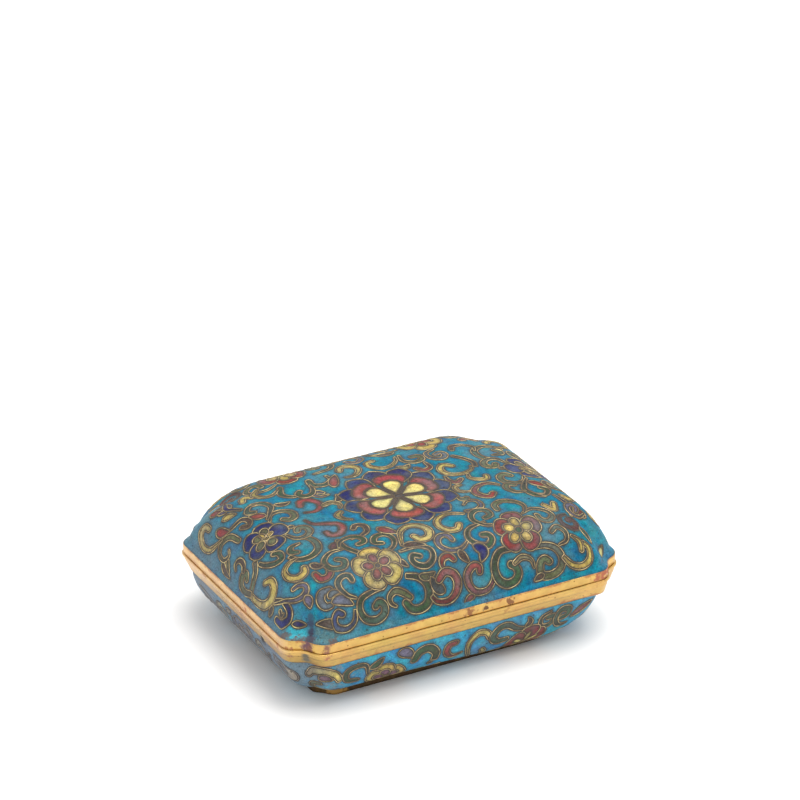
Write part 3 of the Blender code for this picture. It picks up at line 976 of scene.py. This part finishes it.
def outward_wires(name, shell, cells, tree, wire_finish, bed_finish, seed):
    """The wires of a shell's cells, grown by the node tree and then made plain mesh."""
    lines, edges = wire_lines(cells)
    used = np.unique(np.array(edges))
    places = {old: new for new, old in enumerate(used)}
    lines = lines[used]
    edges = [(places[first], places[second]) for first, second in edges]
    mesh = bpy.data.meshes.new(name)
    mesh.from_pydata((shell.on_surface(lines) * MM).tolist(), edges, [])
    attribute = mesh.attributes.new("outward", "FLOAT_VECTOR", "POINT")
    attribute.data.foreach_set("vector", directions(shell, lines).astype(np.float32).ravel())
    browned = [float(one["colour"] in DARK_WIRED) for one in cells for _ in one["outline"]]
    attribute = mesh.attributes.new("browned", "FLOAT", "POINT")
    attribute.data.foreach_set("value", np.array(browned, np.float32)[used])
    piece = added(name, mesh)
    modifier = piece.modifiers.new("wires", "NODES")
    modifier.node_group = tree
    values = {
        "Wire Radius": WIRE_RADIUS * MM, "Bed Width": BED_WIDTH * MM, "Bed Height": BED_HEIGHT * MM,
        "Unevenness": 0.22, "Seed": seed, "Wire Material": wire_finish, "Bed Material": bed_finish,
    }
    for socket in tree.interface.items_tree:
        if socket.in_out == "INPUT" and socket.name in values:
            modifier[socket.identifier] = values[socket.name]
    grown = piece.evaluated_get(bpy.context.evaluated_depsgraph_get())
    solid = bpy.data.meshes.new_from_object(grown)
    piece.modifiers.clear()
    piece.data = solid
    solid.name = name
    return piece


def loft(name, rings, closed=True):
    """A smooth mesh through rings, each an outline in millimetres at a height. It joins its last
    ring to its first, or ends in a face there."""
    shape = bmesh.new()
    loops = []
    for outline, height in rings:
        places = np.column_stack([outline, np.broadcast_to(height, len(outline))]) * MM
        loops.append([shape.verts.new(place) for place in places.tolist()])
    pairs = list(zip(loops, loops[1:]))
    if closed:
        pairs.append((loops[-1], loops[0]))
    for near, far in pairs:
        for place in range(len(near)):
            after = (place + 1) % len(near)
            shape.faces.new((near[place], near[after], far[after], far[place]))
    if not closed:
        bmesh.ops.poke(shape, faces=[shape.faces.new(loops[-1])])
    bmesh.ops.recalc_face_normals(shape, faces=shape.faces)
    mesh = bpy.data.meshes.new(name)
    shape.to_mesh(mesh)
    shape.free()
    mesh.shade_smooth()
    mesh.set_sharp_from_angle(angle=SHARP_ANGLE)
    return added(name, mesh)


def rim_ring(inset, height):
    """One ring of a band, set in from the widest edge."""
    outline = ring_outline(HALF_LENGTH - inset, HALF_WIDTH - inset, CORNER_RADIUS, CORNER_DIP)
    return outline, height


def band_ring(inset, height):
    """One ring of the box's band, whose face leans in less at its front right corner."""
    outline, _ = rim_ring(inset, height)
    at_corner = eased(outline[:, 0], 38, 48) * eased(-outline[:, 1], 26, 36)
    push = 0.85 * max(inset - 0.2, 0) * (inset < BAND_FACE_DEPTH)
    return outline + np.multiply.outer(push * at_corner, (0.8, -0.6)), height


def lid_ring(inset, height):
    """One ring of the lid's band, whose lower edge meets the box's along the left end."""
    outline, _ = rim_ring(inset, height)
    lowered = 0.1 * eased(-outline[:, 0], 46, 52) * (height < LID_RIM_FLOOR)
    return outline, height - lowered


# Finishes

def new_group(name, inputs, outputs):
    """An empty shader group with its named inputs and outputs."""
    tree = bpy.data.node_groups.new(name, "ShaderNodeTree")
    for label, kind, value in inputs:
        socket = tree.interface.new_socket(label, in_out="INPUT", socket_type="NodeSocket" + kind)
        if value is not None:
            socket.default_value = value
    for label, kind in outputs:
        tree.interface.new_socket(label, in_out="OUTPUT", socket_type="NodeSocket" + kind)
    given = tree.nodes.new("NodeGroupInput").outputs
    asked = tree.nodes.new("NodeGroupOutput").inputs
    return Graph(tree), given, asked


def mottle_group():
    """Uneven colour: cloudy changes of hue and of lightness."""
    graph, given, asked = new_group("mottle", [
        ("Colour", "Color", None), ("Place", "Vector", None), ("Scale", "Float", 100.0),
        ("Hue Swing", "Float", 0.02), ("Light Swing", "Float", 0.2)], [("Colour", "Color")])
    clouds = graph.noise(given["Place"], given["Scale"], 4.0, 0.6)
    finer = graph.math("MULTIPLY", given["Scale"], 2.7)
    spots = graph.noise(given["Place"], finer, 3.0, 0.6)
    hue = graph.math("MULTIPLY_ADD", graph.ramp(clouds, 0.3, 0.7, -1, 1), given["Hue Swing"], 0.5)
    light = graph.math("MULTIPLY_ADD", graph.ramp(spots, 0.3, 0.7, -1, 1), given["Light Swing"], 1.0)
    made = graph.node("HueSaturation", {"Hue": hue, "Value": light, "Color": given["Colour"]})
    graph.tree.links.new(made.outputs[0], asked[0])
    return graph.tree


def pit_group():
    """Small round pits, of which only a share of the places has one."""
    graph, given, asked = new_group("pits", [
        ("Place", "Vector", None), ("Scale", "Float", 900.0), ("Share", "Float", 0.3),
        ("Size", "Float", 0.25)], [("Mask", "Float")])
    cells = graph.node("TexVoronoi", {"Vector": given["Place"], "Scale": given["Scale"]})
    chosen = graph.node("SeparateColor", {"Color": cells.outputs["Color"]})
    there = graph.math("LESS_THAN", chosen.outputs[0], given["Share"])
    size = graph.math("MULTIPLY", given["Size"], graph.ramp(chosen.outputs[1], 0, 1, 0.4, 1.0))
    inner = graph.math("MULTIPLY", size, 0.5)
    depth = graph.ramp(cells.outputs["Distance"], size, inner)
    graph.tree.links.new(graph.math("MULTIPLY", there, depth), asked[0])
    return graph.tree


def spot_group():
    """A ragged spot about a place."""
    graph, given, asked = new_group("spot", [
        ("Place", "Vector", None), ("Centre", "Vector", None), ("Radius", "Float", 0.002),
        ("Raggedness", "Float", 0.4)], [("Mask", "Float")])
    gap = graph.node("VectorMath", {0: given["Place"], 1: given["Centre"]}, operation="DISTANCE")
    share = graph.math("DIVIDE", gap.outputs["Value"], given["Radius"])
    waves = graph.ramp(graph.noise(given["Place"], 900.0, 3.0), 0.3, 0.7, -1, 1)
    uneven = graph.math("MULTIPLY_ADD", waves, given["Raggedness"], share)
    graph.tree.links.new(graph.ramp(uneven, 1.2, 0.5), asked[0])
    return graph.tree


def wear_group():
    """Where a finish is rubbed or tarnished: ragged patches, more of them at the given height."""
    graph, given, asked = new_group("wear", [
        ("Place", "Vector", None), ("Scale", "Float", 300.0), ("Share", "Float", 0.3),
        ("Height", "Float", 0.0), ("Reach", "Float", 0.001)], [("Mask", "Float")])
    height = graph.node("SeparateXYZ", {"Vector": given["Place"]}).outputs["Z"]
    gap = graph.math("ABSOLUTE", graph.math("SUBTRACT", height, given["Height"]))
    near = graph.ramp(graph.math("DIVIDE", gap, given["Reach"]), 1.0, 0.0)
    clouds = graph.noise(given["Place"], given["Scale"], 5.0, 0.65)
    level = graph.math("MULTIPLY_ADD", near, 0.25, clouds)
    threshold = graph.math("SUBTRACT", 0.95, given["Share"])
    soft = graph.math("SUBTRACT", level, threshold)
    graph.tree.links.new(graph.ramp(soft, -0.05, 0.08), asked[0])
    return graph.tree


def new_finish(name):
    """A new material: its graph, its place on the object and its shader."""
    material = bpy.data.materials.new(name)
    material.use_nodes = True
    graph = Graph(material.node_tree)
    place = graph.node("TexCoord").outputs["Object"]
    return material, graph, place, material.node_tree.nodes["Principled BSDF"]


def use(graph, tree, **inputs):
    """A group in a material, with its inputs by name, and its one output."""
    made = graph.node("Group", node_tree=tree)
    for name, value in inputs.items():
        socket = made.inputs[name.replace("_", " ")]
        if isinstance(value, bpy.types.NodeSocket):
            graph.tree.links.new(value, socket)
        else:
            socket.default_value = value
    return made.outputs[0]


def spots(graph, groups, place, marks):
    """The mask and the colour of each ragged spot that is given as its place and radius in metres,
    its colour on a screen and its raggedness."""
    for centre, radius, shade, ragged in marks:
        mask = use(graph, groups["spot"], Place=place, Centre=centre, Radius=radius, Raggedness=ragged)
        yield mask, seen(*shade)


def enamel_finish(name, groups, haze, end_reflection_on_ground, end_reflection_on_cells, end_reach, gloss, ground_marks, marks):
    """Old polished enamel: mottled, pitted, darker along its wires and dulled in patches. A haze
    lies on it in clouds, and a painted reflection towards its left end, on ground and cells."""
    material, graph, place, shader = new_finish(name)
    cells = graph.node("Attribute", attribute_name="cell_colour")
    near = graph.node("Attribute", attribute_name="near_wire").outputs["Fac"]
    is_ground = graph.math("SUBTRACT", 1.0, cells.outputs["Alpha"])
    hue_swing = graph.math("MULTIPLY_ADD", is_ground, 0.018, 0.016)
    colour = use(graph, groups["mottle"], Colour=cells.outputs["Color"], Place=place, Scale=150.0,
                 Hue_Swing=hue_swing, Light_Swing=0.30)
    stain = graph.ramp(graph.noise(place, 260.0, 4.0, 0.62), 0.50, 0.68, 0.0, 0.42)
    stain = graph.math("MULTIPLY", stain, cells.outputs["Alpha"])
    colour = graph.mix(stain, colour, seen(92, 78, 58))
    clouds = graph.noise(place, 55.0, 5.0, 0.62)
    colour = graph.mix(graph.ramp(clouds, 0.46, 0.70, 0.0, haze), colour, seen(112, 132, 136))
    # A grey-blue painted reflection of the floor, fading in towards the left end, on the ground and on the
    # cells, each by its own share
    across = graph.node("SeparateXYZ", {"Vector": place}).outputs["X"]
    painted_end_reflection = graph.ramp(graph.noise(place, 120.0, 4.0, 0.6), 0.32, 0.60, 0.60, 1.0)
    painted_end_reflection = graph.math("MULTIPLY", painted_end_reflection, graph.ramp(across, *end_reach, 0.0, 1.0))
    end_reflection_here = graph.ramp(is_ground, 0, 1, end_reflection_on_cells, end_reflection_on_ground)
    colour = graph.mix(graph.math("MULTIPLY", painted_end_reflection, end_reflection_here), colour, seen(106, 112, 122))
    for mark, shade in spots(graph, groups, place, ground_marks):
        mark = graph.math("MULTIPLY", mark, graph.math("MULTIPLY", is_ground, 0.9))
        colour = graph.mix(mark, colour, shade)
    # Darker near the wires and towards the lid edge's lower rim, less so under the painted reflection
    near_wire_dark = graph.ramp(graph.noise(place, 330.0, 3.0), 0.35, 0.65, 0.45, 1.15)
    near_wire_dark = graph.math("MULTIPLY", near, near_wire_dark)
    near_wire_dark = graph.math("MULTIPLY", near_wire_dark, graph.ramp(painted_end_reflection, 0.0, 1.0, 1.0, 1.0 - end_reflection_on_cells))
    colour = graph.mix(near_wire_dark, colour, seen(58, 54, 50))
    large = use(graph, groups["pits"], Place=place, Scale=620.0, Share=0.22, Size=0.34)
    small = use(graph, groups["pits"], Place=place, Scale=1300.0, Share=0.42, Size=0.40)
    pits = graph.math("MAXIMUM", large, graph.math("MULTIPLY", small, 0.8))
    colour = graph.mix(graph.math("MULTIPLY", pits, 0.62), colour, seen(48, 42, 36))
    grain = graph.ramp(graph.noise(place, 2100.0, 2.0), 0.3, 0.7, 0.72, 1.2)
    colour = graph.node("HueSaturation", {"Value": grain, "Color": colour}).outputs[0]
    for mark, shade in spots(graph, groups, place, marks):
        colour = graph.mix(graph.math("MULTIPLY", mark, 0.85), colour, shade)
    rough = graph.ramp(graph.noise(place, 240.0, 4.0, 0.6), 0.3, 0.7, 0.36, 0.58)
    rough = graph.math("MAXIMUM", rough, graph.math("MULTIPLY", pits, 0.8))
    waves = graph.noise(place, 330.0, 2.0)
    height = graph.math("MULTIPLY_ADD", pits, -0.5, graph.math("MULTIPLY", waves, 0.35))
    height = graph.math("MULTIPLY_ADD", near, 0.25, height)
    bump = graph.node("Bump", {"Height": height, "Distance": 0.00022, "Strength": 0.7})
    graph.feed(shader, Base_Color=colour, Roughness=rough, Normal=bump.outputs[0])
    shader.inputs["Specular IOR Level"].default_value = gloss
    return material


def plain_enamel_finish(name, groups):
    """The plain turquoise enamel of the insides and the underside."""
    material, graph, place, shader = new_finish(name)
    colour = use(graph, groups["mottle"], Colour=(*seen(52, 140, 158), 1), Place=place, Scale=90.0,
                 Hue_Swing=0.02, Light_Swing=0.18)
    pits = use(graph, groups["pits"], Place=place, Scale=420.0, Share=0.22, Size=0.22)
    colour = graph.mix(graph.math("MULTIPLY", pits, 0.7), colour, seen(50, 48, 46))
    worn = use(graph, groups["wear"], Place=place, Scale=110.0, Share=0.28, Height=-1.0)
    colour = graph.mix(graph.math("MULTIPLY", worn, 0.4), colour, seen(112, 120, 112))
    rough = graph.ramp(graph.noise(place, 200.0, 4.0), 0.3, 0.7, 0.22, 0.42)
    height = graph.math("SUBTRACT", graph.math("MULTIPLY", graph.noise(place, 160.0), 0.4), pits)
    bump = graph.node("Bump", {"Height": height, "Distance": 0.0002, "Strength": 0.6})
    graph.feed(shader, Base_Color=colour, Roughness=rough, Normal=bump.outputs[0])
    return material


def gilt_finish(name, groups, edge_height, wear, marks):
    """Satin gilding: hand-burnished, oxidised along the enamel, worn and spotted in places, with a
    painted reflection that makes its left end paler.
    """
    material, graph, place, shader = new_finish(name)
    across = graph.node("SeparateXYZ", {"Vector": place}).outputs["X"]
    # The left end is painted paler: a painted reflection of the floor
    paler_end_reflection = graph.ramp(across, -0.0530, -0.0545)
    colour = graph.mix(paler_end_reflection, seen(204, 166, 98), seen(206, 170, 122))
    colour = use(graph, groups["mottle"], Colour=colour, Place=place, Scale=120.0,
                 Hue_Swing=0.012, Light_Swing=0.10)
    oxide = use(graph, groups["wear"], Place=place, Scale=260.0, Share=wear, Height=edge_height,
                Reach=0.0011)
    colour = graph.mix(graph.math("MULTIPLY", oxide, 0.75), colour, seen(160, 98, 60))
    stains = graph.math("MULTIPLY", oxide, 0.55)
    for mark, shade in spots(graph, groups, place, marks):
        colour = graph.mix(mark, colour, shade)
        stains = graph.math("MAXIMUM", stains, mark)
    pits = use(graph, groups["pits"], Place=place, Scale=800.0, Share=0.16, Size=0.26)
    colour = graph.mix(graph.math("MULTIPLY", pits, 0.7), colour, seen(96, 56, 34))
    metal = graph.ramp(stains, 0.0, 1.0, 1.0, 0.35)
    scuffs = graph.node("Mapping", {"Vector": place, "Scale": (1.0, 1.0, 6.0)})
    scuffs = graph.noise(scuffs.outputs[0], 380.0, 4.0, 0.6)
    rough = graph.ramp(scuffs, 0.3, 0.7, 0.26, 0.42)
    rough = graph.math("MAXIMUM", rough, graph.math("MULTIPLY", stains, 0.6))
    height = graph.math("MULTIPLY_ADD", pits, -0.6, graph.math("MULTIPLY", scuffs, 0.5))
    bump = graph.node("Bump", {"Height": height, "Distance": 0.00016, "Strength": 0.55})
    graph.feed(shader, Base_Color=colour, Metallic=metal, Roughness=rough, Normal=bump.outputs[0])
    return material


def wire_finish(groups):
    """Thin gilt wires, rubbed bright on top and dulled here and there, with a painted
    reflection on the bowl's left end.
    """
    material, graph, place, shader = new_finish("wire_gilt")
    colour = use(graph, groups["mottle"], Colour=(*seen(204, 182, 128), 1), Place=place, Scale=260.0,
                 Hue_Swing=0.02, Light_Swing=0.25)
    dulled = graph.ramp(graph.noise(place, 300.0, 4.0), 0.38, 0.56)
    colour = graph.mix(graph.math("MULTIPLY", dulled, 0.80), colour, seen(100, 78, 56))
    browned = graph.node("Attribute", attribute_name="browned").outputs["Fac"]
    colour = graph.mix(graph.math("MULTIPLY", browned, 0.85), colour, seen(80, 58, 46))
    # A grey-blue painted reflection on the wires of the bowl's left end, as on its enamel
    sides = graph.node("SeparateXYZ", {"Vector": place})
    painted_reflection_on_wires = graph.math("MULTIPLY", graph.ramp(sides.outputs["X"], -0.0440, -0.0500, 0.0, 0.7),
                        graph.ramp(sides.outputs["Z"], 0.0180, 0.0160))
    colour = graph.mix(painted_reflection_on_wires, colour, seen(118, 120, 130))
    graph.feed(shader, Base_Color=colour)
    shader.inputs["Metallic"].default_value = 0.55
    shader.inputs["Roughness"].default_value = 0.45
    return material


def bed_finish(groups):
    """The dark line beside each wire."""
    material, graph, place, shader = new_finish("wire_bed")
    colour = use(graph, groups["mottle"], Colour=(*seen(54, 48, 42), 1), Place=place, Scale=300.0,
                 Hue_Swing=0.03, Light_Swing=0.45)
    graph.feed(shader, Base_Color=colour)
    shader.inputs["Roughness"].default_value = 0.5
    return material


def foot_finish(groups):
    """Darkened gilding of the foot, with gold in patches and a painted highlight on its front left lobe."""
    material, graph, place, shader = new_finish("foot_gilt")
    colour = use(graph, groups["mottle"], Colour=(*seen(70, 52, 34), 1), Place=place, Scale=200.0,
                 Hue_Swing=0.02, Light_Swing=0.3)
    bright = graph.ramp(graph.noise(place, 130.0, 4.0, 0.6), 0.56, 0.74, 0.0, 0.4)
    # A painted highlight on the front left lobe of the foot
    lobe_highlight = use(graph, groups["spot"], Place=place, Centre=(-0.0366, -0.0308, 0.0012), Radius=0.0034,
               Raggedness=0.5)
    bright = graph.math("MAXIMUM", bright, graph.math("MULTIPLY", lobe_highlight, 0.8))
    colour = graph.mix(bright, colour, seen(160, 122, 66))
    rough = graph.ramp(graph.noise(place, 500.0, 3.0), 0.3, 0.7, 0.3, 0.55)
    graph.feed(shader, Base_Color=colour, Roughness=rough)
    shader.inputs["Metallic"].default_value = 0.9
    return material


def dress(piece, material, slot, *nodes):
    """Give a piece its finish, its body and the nodes that it stands for."""
    if material:
        piece.data.materials.clear()
        piece.data.materials.append(material)
    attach(piece, "root")
    if nodes:
        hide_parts(*nodes)


def lid_pieces(groups, tree, wires, beds):
    """The lid's enamel with its edge, its wires and its inside."""
    dome = Dome()
    cells = lid_cells()
    ground_marks = [
        ((-0.0446, -0.0395, 0.0253), 0.0038, (84, 118, 122), 0.9),
        ((-0.0512, -0.0340, 0.0246), 0.0044, (56, 168, 184), 0.25),
    ]
    marks = [
        ((-0.0481, -0.0368, 0.0240), 0.0017, (74, 54, 66), 0.3),
        ((-0.0476, -0.0359, 0.0258), 0.0014, (58, 46, 66), 0.3),
        ((-0.0471, -0.0350, 0.0275), 0.0013, (56, 58, 76), 0.3),
        ((-0.0465, -0.0339, 0.0292), 0.0011, (56, 76, 94), 0.3),
        ((-0.0534, -0.0316, 0.0236), 0.0019, (98, 74, 66), 0.6),
        ((-0.0522, -0.0342, 0.0226), 0.0018, (106, 76, 62), 0.6),
        ((-0.0504, -0.0352, 0.0230), 0.0017, (98, 74, 68), 0.5),
        ((-0.0430, -0.0410, 0.0238), 0.0011, (92, 78, 74), 0.7),
    ]
    enamel = enamel_finish("lid_enamel", groups, 0.55, 0.60, 0.20, (-0.0430, -0.0540), 0.12,
                           ground_marks, marks)
    piece = loft("lid_edge", [rim_ring(inset, dome.floor + height) for inset, height in (
        (0.40, -0.62), (0.50, -0.45), (0.62, -0.25), (0.86, 0.0), (1.16, 0.30), (1.50, 0.62),
        (1.50, -0.62),
    )])
    # The edge's enamel darkens towards its lower rim, where it meets the band
    heights = np.array([corner.co.z / MM for corner in piece.data.vertices])
    near = np.clip((dome.floor - 0.1 - heights) * 1.2, 0, 1)
    colour_enamel(piece.data, np.tile((*LID_GROUND, 0), len(piece.data.loops)), near)
    dress(piece, enamel, "lid_enamel")
    piece = enamel_piece("lid_enamel", dome, cells, LID_GROUND)
    dress(piece, enamel, "lid_enamel", "lid_dome")
    piece = outward_wires("lid_wires", dome, cells, tree, wires, beds, 1.0)
    dress(piece, None, "gilt")
    within = Dome(SHELL_WALL)
    rings = [(ring_outline(*dome.ring(0.0)[:4]), dome.floor)]
    for step in range(DOME_INSIDE_STEPS):
        *shape, height = within.ring((step / DOME_INSIDE_STEPS) ** 2)
        rings.append((ring_outline(*shape), height))
    piece = loft("lid_inside", rings, closed=False)
    dress(piece, plain_enamel_finish("lid_inside", groups), "lid_enamel")


def bowl_pieces(groups, tree, wires, beds):
    """The bowl's enamel, its wires, its inside and its underside."""
    bowl = Bowl()
    cells = bowl_cells(bowl)
    # The ground mark at the near left corner is a grey-blue painted reflection of the floor
    ground_marks = [((-0.0465, -0.0330, 0.0110), 0.0095, (106, 126, 138), 0.8)]
    marks = [((-0.0531, -0.0166, 0.0145), 0.0014, (26, 22, 20), 0.3)]
    enamel = enamel_finish("bowl_enamel", groups, 0.50, 0.92, 0.85, (-0.0410, -0.0490), 0.25,
                           ground_marks, marks)
    piece = enamel_piece("bowl_enamel", bowl, cells, BOWL_GROUND)
    dress(piece, enamel, "bowl_enamel", "box_bowl")
    piece = outward_wires("bowl_wires", bowl, cells, tree, wires, beds, 2.0)
    dress(piece, None, "gilt")
    within = Bowl(SHELL_WALL)
    rings = [(ring_outline(*bowl.ring(np.pi / 2)[:4]), bowl.top)]
    for step in range(BOWL_INSIDE_STEPS + 1):
        *shape, height = within.ring(np.pi / 2 * (1 - step / BOWL_INSIDE_STEPS))
        rings.append((ring_outline(*shape), height))
    plain = plain_enamel_finish("bowl_inside", groups)
    dress(loft("bowl_inside", rings, closed=False), plain, "bowl_enamel")
    half_x, half_y, radius, dip, height = bowl.ring(0.0)
    rings = []
    for inset in (0.0, 0.35, 3.0, 9.0, 17.0):
        corner = max(radius - inset, 1.0), max(dip - inset, 0.0)
        outline = ring_outline(half_x - inset, half_y - inset, *corner)
        across, back, hanging = bowl.uneven(*outline.T, height)
        rings.append((np.column_stack([across, back]), height if inset else hanging))
    dress(loft("bowl_underside", rings, closed=False), plain, "bowl_enamel")


def box_band(groups):
    """The box's gilt band: its bead, its grooved face and, behind the lid's band, the lip."""
    bowl_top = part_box("box_bowl")[1][2] / MM
    lip_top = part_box("box_rim")[1][2] / MM
    face = [(inset, SEAM + height) for inset, height in (
        (0.50, 0.06), (0.14, 0.03), (0.03, -0.08), (0, -0.22), (0, -0.66), (0.07, -0.83),
        (0.22, -0.95), (0.36, -1.00), (0.40, -1.12), (0.44, -1.50), (0.78, -2.55), (0.90, -2.66),
        (0.92, -2.80), (1.10, -3.20),
    )]
    foot_of_face = [(inset, BOX_RIM_FLOOR + height) for inset, height in (
        (1.66, 0.30), (1.76, 0.10), (1.94, 0))]
    lip = [
        (2.30, bowl_top), (LIP_INSIDE, bowl_top), (LIP_INSIDE, lip_top - 0.1),
        (LIP_INSIDE - 0.1, lip_top), (LIP_OUTSIDE + 0.1, lip_top), (LIP_OUTSIDE, lip_top - 0.1),
        (LIP_OUTSIDE, SEAM),
    ]
    rings = [band_ring(*place) for place in face + foot_of_face + lip]
    marks = [
        ((-0.0491, -0.0359, 0.0186), 0.0014, (108, 102, 86), 0.05),
        ((-0.0489, -0.0356, 0.0168), 0.0014, (108, 102, 86), 0.05),
        ((-0.0535, -0.0173, 0.0159), 0.0012, (26, 22, 20), 0.3),
        ((-0.0545, -0.0300, 0.0200), 0.0008, (180, 128, 96), 0.9),
        ((-0.0530, -0.0332, 0.0182), 0.0009, (156, 108, 76), 0.6),
        ((-0.0450, -0.0408, 0.0195), 0.0010, (176, 120, 84), 0.9),
        ((0.0490, -0.0385, 0.0185), 0.0020, (190, 128, 84), 1.0),
    ]
    finish = gilt_finish("box_band_gilt", groups, BOX_RIM_FLOOR * MM, 0.31, marks)
    dress(loft("box_band", rings), finish, "gilt", "box_rim")


def lid_band(groups):
    """The lid's gilt band, with the ledge that its enamel laps."""
    bottom, ledge = LID_RIM_FLOOR - 0.15, LID_RIM_TOP - 0.30
    inside_wall = LID_RIM_INSET + LID_RIM_WALL
    rings = [lid_ring(*place) for place in (
        (0.50, bottom), (0.36, bottom + 0.03), (0.30, bottom + 0.13), (0.30, bottom + 1.55),
        (0.30, ledge - 0.20), (0.34, ledge - 0.06), (0.46, ledge), (1.42, ledge),
        (1.42, DOME_FLOOR), (inside_wall, DOME_FLOOR), (inside_wall, bottom),
    )]
    marks = [
        ((-0.0530, -0.0336, 0.0208), 0.0012, (176, 120, 76), 0.9),
        ((-0.0547, -0.0090, 0.0217), 0.0009, (186, 124, 86), 0.9),
        ((-0.0491, -0.0369, 0.0221), 0.0019, (110, 76, 84), 0.4),
        ((-0.0487, -0.0377, 0.0209), 0.0013, (132, 88, 72), 0.5),
        ((-0.0450, -0.0411, 0.0224), 0.0013, (146, 102, 80), 0.4),
        ((-0.0452, -0.0411, 0.0208), 0.0011, (156, 110, 84), 0.4),
        ((0.0005, -0.0415, 0.0221), 0.0014, (150, 100, 58), 1.1),
        ((0.0060, -0.0415, 0.0217), 0.0010, (112, 78, 46), 1.3),
        ((0.0140, -0.0415, 0.0219), 0.0011, (140, 94, 56), 1.3),
        ((0.0444, -0.0414, 0.0228), 0.0030, (176, 104, 72), 0.8),
        ((0.0480, -0.0400, 0.0226), 0.0026, (168, 92, 62), 0.6),
    ]
    finish = gilt_finish("lid_band_gilt", groups, ledge * MM, 0.27, marks)
    dress(loft("lid_band", rings), finish, "gilt", "lid_rim")


def foot(groups):
    """The low foot, flared a little where it stands."""
    half_x, half_y, _ = (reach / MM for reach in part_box("foot_ring")[1])
    inner = FOOT_FLARE + FOOT_WALL
    bowl = Bowl()
    rings = []
    for inset, height in (
        (0.10, 0.0), (0.0, 0.10), (0.0, 0.50), (0.12, 0.80), (0.30, 1.20), (0.34, 2.0),
        (0.30, bowl.floor), (inner, bowl.floor), (inner, 0.1), (inner - 0.1, 0.0),
    ):
        outline = ring_outline(half_x - inset, half_y - inset, FOOT_RADIUS, FOOT_DIP)
        across, back, _ = bowl.uneven(*outline.T, bowl.floor, FOOT_DRAW)
        rings.append((np.column_stack([across, back]), height))
    dress(loft("foot", rings), foot_finish(groups), "foot_gilt", "foot_ring")


def floor_and_lights():
    """The pale floor, the even light all round and one soft light from above."""
    corners = [(x * FLOOR_REACH, y * FLOOR_REACH, 0) for x, y in ((-1, -1), (1, -1), (1, 1), (-1, 1))]
    plane = bpy.data.meshes.new("floor")
    plane.from_pydata(corners, [], [(0, 1, 2, 3)])
    floor = added("floor", plane)
    material, _, _, shader = new_finish("floor")
    shader.inputs["Base Color"].default_value = (0.93, 0.93, 0.93, 1)
    shader.inputs["Roughness"].default_value = 0.9
    shader.inputs["Specular IOR Level"].default_value = 0.1
    plane.materials.append(material)

    world = bpy.data.worlds.new("studio")
    world.use_nodes = True
    backdrop = world.node_tree.nodes["Background"]
    backdrop.inputs["Color"].default_value = (1.0, 1.0, 1.0, 1)
    backdrop.inputs["Strength"].default_value = 0.92
    bpy.context.scene.world = world

    light = bpy.data.lights.new("softbox", "AREA")
    light.size = 1.3
    light.energy = 20.0
    aim = (SOFTBOX_AIM - SOFTBOX_PLACE).to_track_quat("-Z", "Y").to_matrix().to_4x4()
    added("softbox", light).matrix_world = Matrix.Translation(SOFTBOX_PLACE) @ aim


def photo_camera():
    """The camera where the photograph was taken from."""
    turn, tilt = CAMERA_AZIMUTH, CAMERA_ELEVATION
    back = Vector((math.sin(turn) * math.cos(tilt), -math.cos(turn) * math.cos(tilt), math.sin(tilt)))
    right = Vector((math.cos(turn), math.sin(turn), 0))
    up = back.cross(right)
    place = right * CAMERA_SIDEWAYS + up * CAMERA_UPWARDS + back * CAMERA_DISTANCE
    lens = bpy.data.cameras.new("photo_camera")
    lens.lens = CAMERA_LENS
    lens.sensor_width = 36
    lens.clip_start = 0.01
    camera = added("photo_camera", lens)
    camera.matrix_world = Matrix.Translation(place) @ Matrix((right, up, back)).transposed().to_4x4()
    bpy.context.scene.camera = camera


def main():
    groups = {
        "mottle": mottle_group(), "pits": pit_group(), "spot": spot_group(), "wear": wear_group(),
    }
    tree = wire_tree()
    wires = wire_finish(groups)
    beds = bed_finish(groups)
    lid_pieces(groups, tree, wires, beds)
    bowl_pieces(groups, tree, wires, beds)
    box_band(groups)
    lid_band(groups)
    foot(groups)
    floor_and_lights()
    photo_camera()
    bpy.context.scene.view_settings.view_transform = "Standard"


main()
